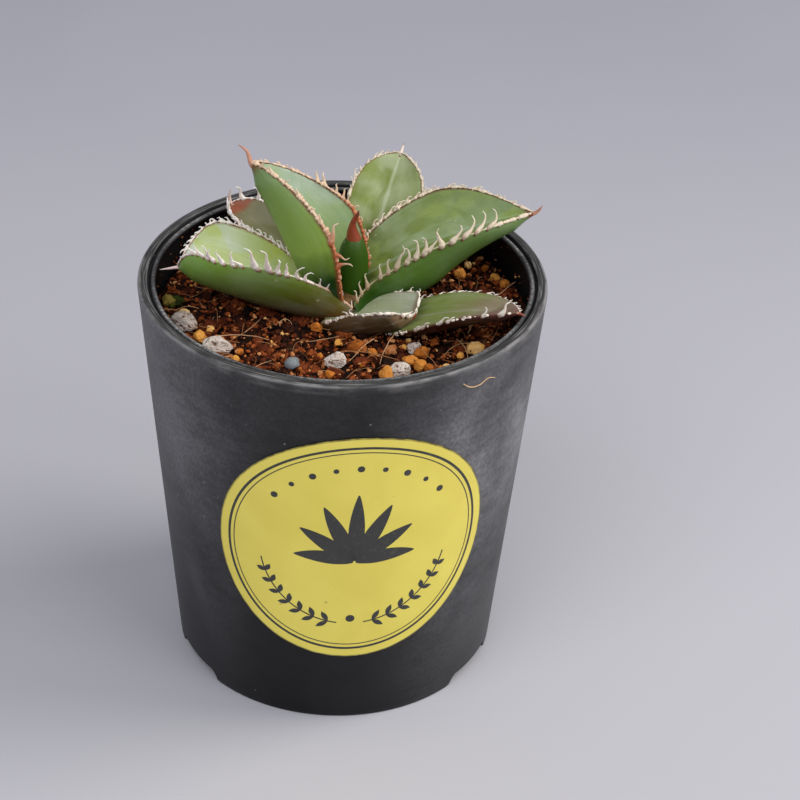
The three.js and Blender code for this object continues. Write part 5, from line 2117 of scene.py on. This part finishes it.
LEAVES = (
    Leaf(
        node="leaf_front", foot=(-2.5, -1.5, 86.0), azimuth=-21, swing=-4, rise=7, lift=14, roll=8,
        twist=2, length=20.0, half_width=8.5, foot_share=0.65, widest=0.8, shoulder=4.6, taper=1.0,
        fold=41, fold_foot=0.1, crease=0.65, thickness=4.0, thorn=((0.6, 0.4), (1.0, 1.1), 0.55),
        slot="leaf_dusk", skin=FRONT_SKIN, horn=SNOW_HORN,
        left=Margin(
            tilt=40, gap=2.2, size=1.5, bands=((0.0, 0.16), (0.8, 0.2), (1.0, 0.3)), width=0.32,
            knobs=0.6, broken=0.5,
        ),
        right=Margin(
            teeth=teeth_from(FRONT_TEETH), tilt=40, gap=2.4, size=1.1, broken=0.7, lie=0.7, knobs=0.6,
            bands=((0.0, 0.26), (0.4, 0.16), (0.8, 0.22), (1.0, 0.42)),
        ),
    ),
    Leaf(
        node="leaf_left", foot=(-1.5, 1.5, 86.0), azimuth=192, swing=-23, rise=18, lift=-6, roll=-20,
        twist=17, length=36.0, half_width=14.0, foot_share=0.4, widest=0.65, shoulder=3.8, taper=0.6,
        fold=59, fold_foot=0.85, crease=0.5, thickness=3.0, thorn=((2.1, -1.0), (4.1, -2.0), 0.52),
        slot="leaf_green", skin=LEFT_SKIN, horn=WHITE_HORN,
        left=Margin(
            teeth=teeth_from(LEFT_TEETH), tilt=10, gap=2.2, size=1.1, start=-0.07, end=0.9, knobs=0.45,
            bands=((-0.1, 0.26), (0.26, 0.22), (0.34, 0.07), (0.74, 0.07), (0.8, 0.2), (1.0, 0.26)),
        ),
        right=Margin(
            tilt=30, gap=1.3, size=1.8, bands=((0.0, 0.24),), lie=0.5, width=0.44, knobs=0.6, end=0.93,
        ),
        heel=0.075, heel_bend=(-0.9, -2.2, -0.7), hood=0.3,
    ),
    Leaf(
        node="leaf_right", foot=(2.5, 7.0, 89.5), azimuth=19, swing=-15, rise=27, lift=-17, roll=-4,
        twist=-4, length=43.0, half_width=11.2, foot_share=0.5, widest=0.55, shoulder=1.9, taper=1.35,
        fold=52, fold_foot=0.7, crease=0.65, thickness=6.0, thorn=((1.3, 0.6), (2.5, 2.0), 0.6),
        slot="leaf_green", skin=RIGHT_SKIN, horn=BUFF_HORN,
        left=Margin(
            tilt=20, gap=1.9, size=1.5, bands=((0.0, 0.26), (0.3, 0.32), (1.0, 0.26)), knobs=0.7, lie=0.7,
            width=0.42,
        ),
        right=Margin(
            teeth=teeth_from(RIGHT_TEETH), tilt=65, gap=2.4, size=0.9, lie=0.7, start=-0.06,
            bands=((-0.1, 0.24), (0.05, 0.1), (0.68, 0.07), (0.78, 0.32), (1.0, 0.34)),
        ),
        heel=0.06, heel_bend=(1.0, -2.6, -1.1), keel=3.2,
    ),
    Leaf(
        node="leaf_tall", foot=(0.5, 3.0, 86.5), azimuth=156, swing=10, rise=59, lift=-11, roll=2,
        twist=-15, length=37.5, half_width=12.2, foot_share=0.55, widest=0.45, shoulder=1.3, taper=0.8,
        fold=71, fold_foot=0.65, crease=0.45, thickness=5.2, thorn=((3.1, 1.05), (5.25, 0.5), 0.85),
        slot="leaf_green", skin=GREEN_SKIN, horn=TAN_HORN,
        left=Margin(
            teeth=teeth_from(TALL_TEETH), tilt=10, gap=3.4, size=0.8, knobs=0.6, lie=0.6,
            bands=((0.0, 0.22), (0.4, 0.26), (0.48, 0.42), (0.86, 0.36), (0.93, 0.3), (1.0, 0.4)),
        ),
        right=Margin(
            teeth=teeth_from(FAR_TEETH), tilt=0, gap=2.0, size=1.2, knobs=0.7, lie=0.6,
            bands=((0.0, 0.34), (0.6, 0.36), (0.7, 0.24), (1.0, 0.28)),
        ),
        heel=0.02, heel_bend=(0.0, 2.6, -0.4), bend_from=0.25,
    ),
    Leaf(
        node="leaf_back_right", foot=(3.5, 5.5, 86.0), azimuth=74, swing=-3, rise=39, lift=-6, roll=-7,
        twist=-6, length=37.0, half_width=8.0, foot_share=0.5, widest=0.6, shoulder=2.9, taper=0.8,
        fold=27, fold_foot=0.6, crease=0.6, thickness=3.5, thorn=((1.3, 0.2), (3.1, -0.3), 0.5),
        slot="leaf_lime", skin=LIME_SKIN, horn=LIME_HORN,
        left=Margin(
            teeth=teeth_from(((0.56, -0.2, 1.2, 0.9, 4.6, 0.5),)), tilt=15, gap=1.8, size=1.5, lie=0.6,
            bands=((0.0, 0.22),), knobs=0.7,
        ),
        right=Margin(tilt=15, gap=1.8, size=1.2, knobs=0.7, bands=((0.0, 0.24),), lie=0.7),
    ),
    Leaf(
        node="leaf_back_left", foot=(0.0, 6.0, 86.5), azimuth=139, swing=2, rise=20, lift=-6, roll=-2,
        twist=8, length=35.5, half_width=5.2, foot_share=0.5, widest=0.7, shoulder=3.3, taper=0.8,
        fold=41, fold_foot=0.6, crease=0.6, thickness=3.0, thorn=((0.8, 1.6), (0.9, 4.6), 0.55),
        slot="leaf_dusk", skin=RUST_SKIN, horn=WHITE_HORN,
        left=Margin(
            teeth=teeth_from(((0.95, 0.8, 0.3, 1.6, 1.2, 0.6), (0.88, 0.8, 0.3, 2.2, 0.9, 0.55))),
            tilt=60, gap=2.2, size=1.9, bands=((0.0, 0.3),),
        ),
        right=Margin(
            teeth=teeth_from(((0.93, 0.8, 0.2, 3.4, 1.0, 0.6), (0.84, 0.9, -0.2, 3.0, 1.2, 0.5))),
            tilt=50, gap=2.2, size=2.2, bands=((0.0, 0.26),),
        ),
    ),
    Leaf(
        node="leaf_low", foot=(8.0, -2.0, 84.0), azimuth=-16, swing=-19, rise=25, lift=-10, roll=-3,
        twist=20, length=35.5, half_width=10.7, foot_share=0.3, widest=0.5, shoulder=2.4, taper=1.0,
        fold=9, fold_foot=0.55, crease=0.6, thickness=3.2, thorn=((0.8, -0.1), (1.7, -0.4), 0.5),
        slot="leaf_dusk", skin=LOW_SKIN, horn=SNOW_HORN,
        left=Margin(
            tilt=40, gap=2.4, size=1.4, bands=((0.0, 0.13),), lie=0.8, broken=1.0, width=0.3, knobs=0.6,
        ),
        right=Margin(
            teeth=teeth_from(((0.9, 0.8, 0.4, 3.0, 1.6, 0.62), (0.8, 0.6, 0.3, 2.2, 0.2, 0.45))), tilt=60,
            gap=3.2, size=1.8, bands=((0.0, 0.16),), lie=0.6, broken=1.0, width=0.42, knobs=0.6,
        ),
    ),
)


# ---------------------------------------------------------------- stem and bud


@dataclass
class Heart:
    """The short stem that the leaves spring from, and the closed bud in their middle."""

    stem_x: float = 1.5
    stem_y: float = 3.5
    stem_radius: float = 4.2
    stem_bottom: float = 78.0
    stem_top: float = 90.5
    bud_x: float = 2.1
    bud_y: float = 3.5
    bud_sides: tuple[tuple[float, float], ...] = (
        (1.7, 85.5), (2.4, 87.6), (2.95, 90.5), (3.25, 93.5), (3.3, 96.4), (3.12, 98.8), (2.72, 100.5),
        (2.2, 101.7), (1.7, 102.5),
    )
    tip_line: tuple[Spot, ...] = (
        (0.0, 102.3, 1.74), (-0.3, 104.4, 1.16), (-0.25, 106.0, 0.74), (0.1, 107.3, 0.55), (0.7, 108.4, 0.42),
        (0.95, 109.4, 0.08),
    )

    def build(self) -> None:
        """Makes the stem, the bud and its tip."""
        self.stem()
        self.bud()
        self.bud_thorn()

    def stem(self) -> None:
        """The stem, rough with old leaf scars."""
        finish = Finish("Stem bark")
        colour = finish.effect(Effect.MOTTLE, Base=(140, 100, 54), Blotch=(82, 50, 24), Scale=380.0)
        colour = finish.graph.mix(finish.effect(Effect.DUST, Scale=200.0), colour, (160, 126, 88))
        grain = finish.effect(Effect.GRAIN, Scale=500.0, Fine_share=0.6)
        finish.set(Base_Color=colour, Roughness=0.85, Normal=finish.bump(grain, 0.25, 0.8))
        turn = full_turn(48)
        z = np.linspace(self.stem_bottom, self.stem_top, 36)
        share = (z - z[0]) / (z[-1] - z[0])
        radius = self.stem_radius * np.minimum(1, np.minimum(0.55 + share * 3, 0.5 + (1 - share) * 3.2))
        scars = 1 + 0.05 * np.sin(share[:, None] * 46 + 2.4 * np.sin(turn * 2)[None])
        ring = radius[:, None] * scars
        x, y = self.stem_x + ring * np.cos(turn), self.stem_y + ring * np.sin(turn)
        shell = Shell()
        shell.loft(np.stack([x, y, z[:, None] + ring * 0], -1))
        shell.piece("Stem", finish.material, ["stem"])

    def bud(self) -> None:
        """The bud of wrapped leaves: one leaf's edge runs up it as a low ridge."""
        sides = smooth_path(np.array([(radius, z, 0.0) for radius, z in self.bud_sides]), 60)
        turn = full_turn(80)
        share = np.linspace(0, 1, len(sides))
        apart = (turn[None] + 0.9 - share[:, None] * 0.8 + np.pi) % (2 * np.pi) - np.pi
        wrap = 1 + 0.045 * np.exp(-((apart / 0.09) ** 2)) + 0.03 * ease(apart, -0.1, 0.1) * (apart < 1.5)
        radius = sides[:, :1] * wrap
        x, y = self.bud_x + radius * np.cos(turn), self.bud_y + radius * np.sin(turn)
        rings = np.stack([x, y, sides[:, 1:2] + radius * 0], -1)
        shell = Shell("along", "across", "face")
        shell.loft(rings, along=share[:, None], across=(0.6 * np.sin(turn))[None], face=0.0)
        skin = LeafSkin(
            name="Skin of the bud", upper=((44, 74, 2), (44, 78, 4), (52, 82, 14)),
            under=((70, 62, 4), (48, 82, 6), (52, 80, 14)), blotch=(80, 110, 40), bloom=(110, 140, 84),
            edge=(120, 84, 50), bloom_upper=0.2, bloom_under=0.06, blotch_amount=0.3, crease=0.0,
            edges=(0.0, 0.0),
        )
        shell.piece("Bud", skin.build(), ["bud"], crisp=80)

    def bud_thorn(self) -> None:
        """The red-brown horn that closes the bud, hooked at its end."""
        path = smooth_path(np.array(self.tip_line), 40)
        share = np.linspace(0, 1, len(path))
        middle = np.stack([self.bud_x + path[:, 0], np.full(len(path), self.bud_y), path[:, 1]], -1)
        shell = Shell("reach", "share", "tint", "thorn")
        shell.loft(tube_rings(middle, path[:, 2], 24), reach=share[:, None], share=1.0, tint=0.4, thorn=1.0)
        horn = HornFinish(
            name="Bud thorn", foot=(140, 58, 24), root=(136, 60, 24), body=(132, 54, 20), tip=(88, 34, 16),
            spine=(134, 52, 20), spine_tip=(88, 30, 14),
        )
        shell.piece("Bud_tip", horn.build(), ["bud_tip"], crisp=80)


WALL_FIBRE = (
    (27.2, 91.2, 0.0), (28.4, 90.1, 0.0), (29.8, 89.4, 0.0), (31.6, 89.2, 0.0), (34.2, 89.9, 0.0),
    (36.3, 89.1, 0.0),
)


def wall_thread(pot: Pot) -> None:
    """One dry fibre stuck to the outside of the wall, under the rim at the front right.

    WALL_FIBRE gives its way as places around the wall, measured along it, and heights.

    Args:
        pot: The pot whose wall it lies on.
    """
    line = smooth_path(np.array(WALL_FIBRE), 30)
    wall = pot.wall_radius(line[:, 1]) + 0.1
    turn = line[:, 0] / wall
    path = np.stack([np.sin(turn) * wall, -np.cos(turn) * wall, line[:, 1]], -1)
    shell = Shell("tint")
    shell.loft(tube_rings(path, np.linspace(0.14, 0.09, len(path)), 6), tint=0.95)
    shell.piece("Wall_thread", Grain.ROOT.finish())


def main() -> None:
    """Builds the potted agave in order."""
    logging.basicConfig(level=logging.INFO, format="%(name)s: %(message)s")
    LOG.info("the packed model has %d nodes", len(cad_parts))
    Viewpoint().build()
    Studio().build()
    pot = Pot()
    pot.build()
    Sticker(pot).build()
    Grit(pot).build()
    for seed, stone in enumerate(STONES):
        stone.build(seed)
    wall_thread(pot)
    Heart().build()
    for seed, leaf in enumerate(LEAVES):
        leaf.blade()
        leaf.horn_piece(seed)


if __name__ == "__main__":
    main()
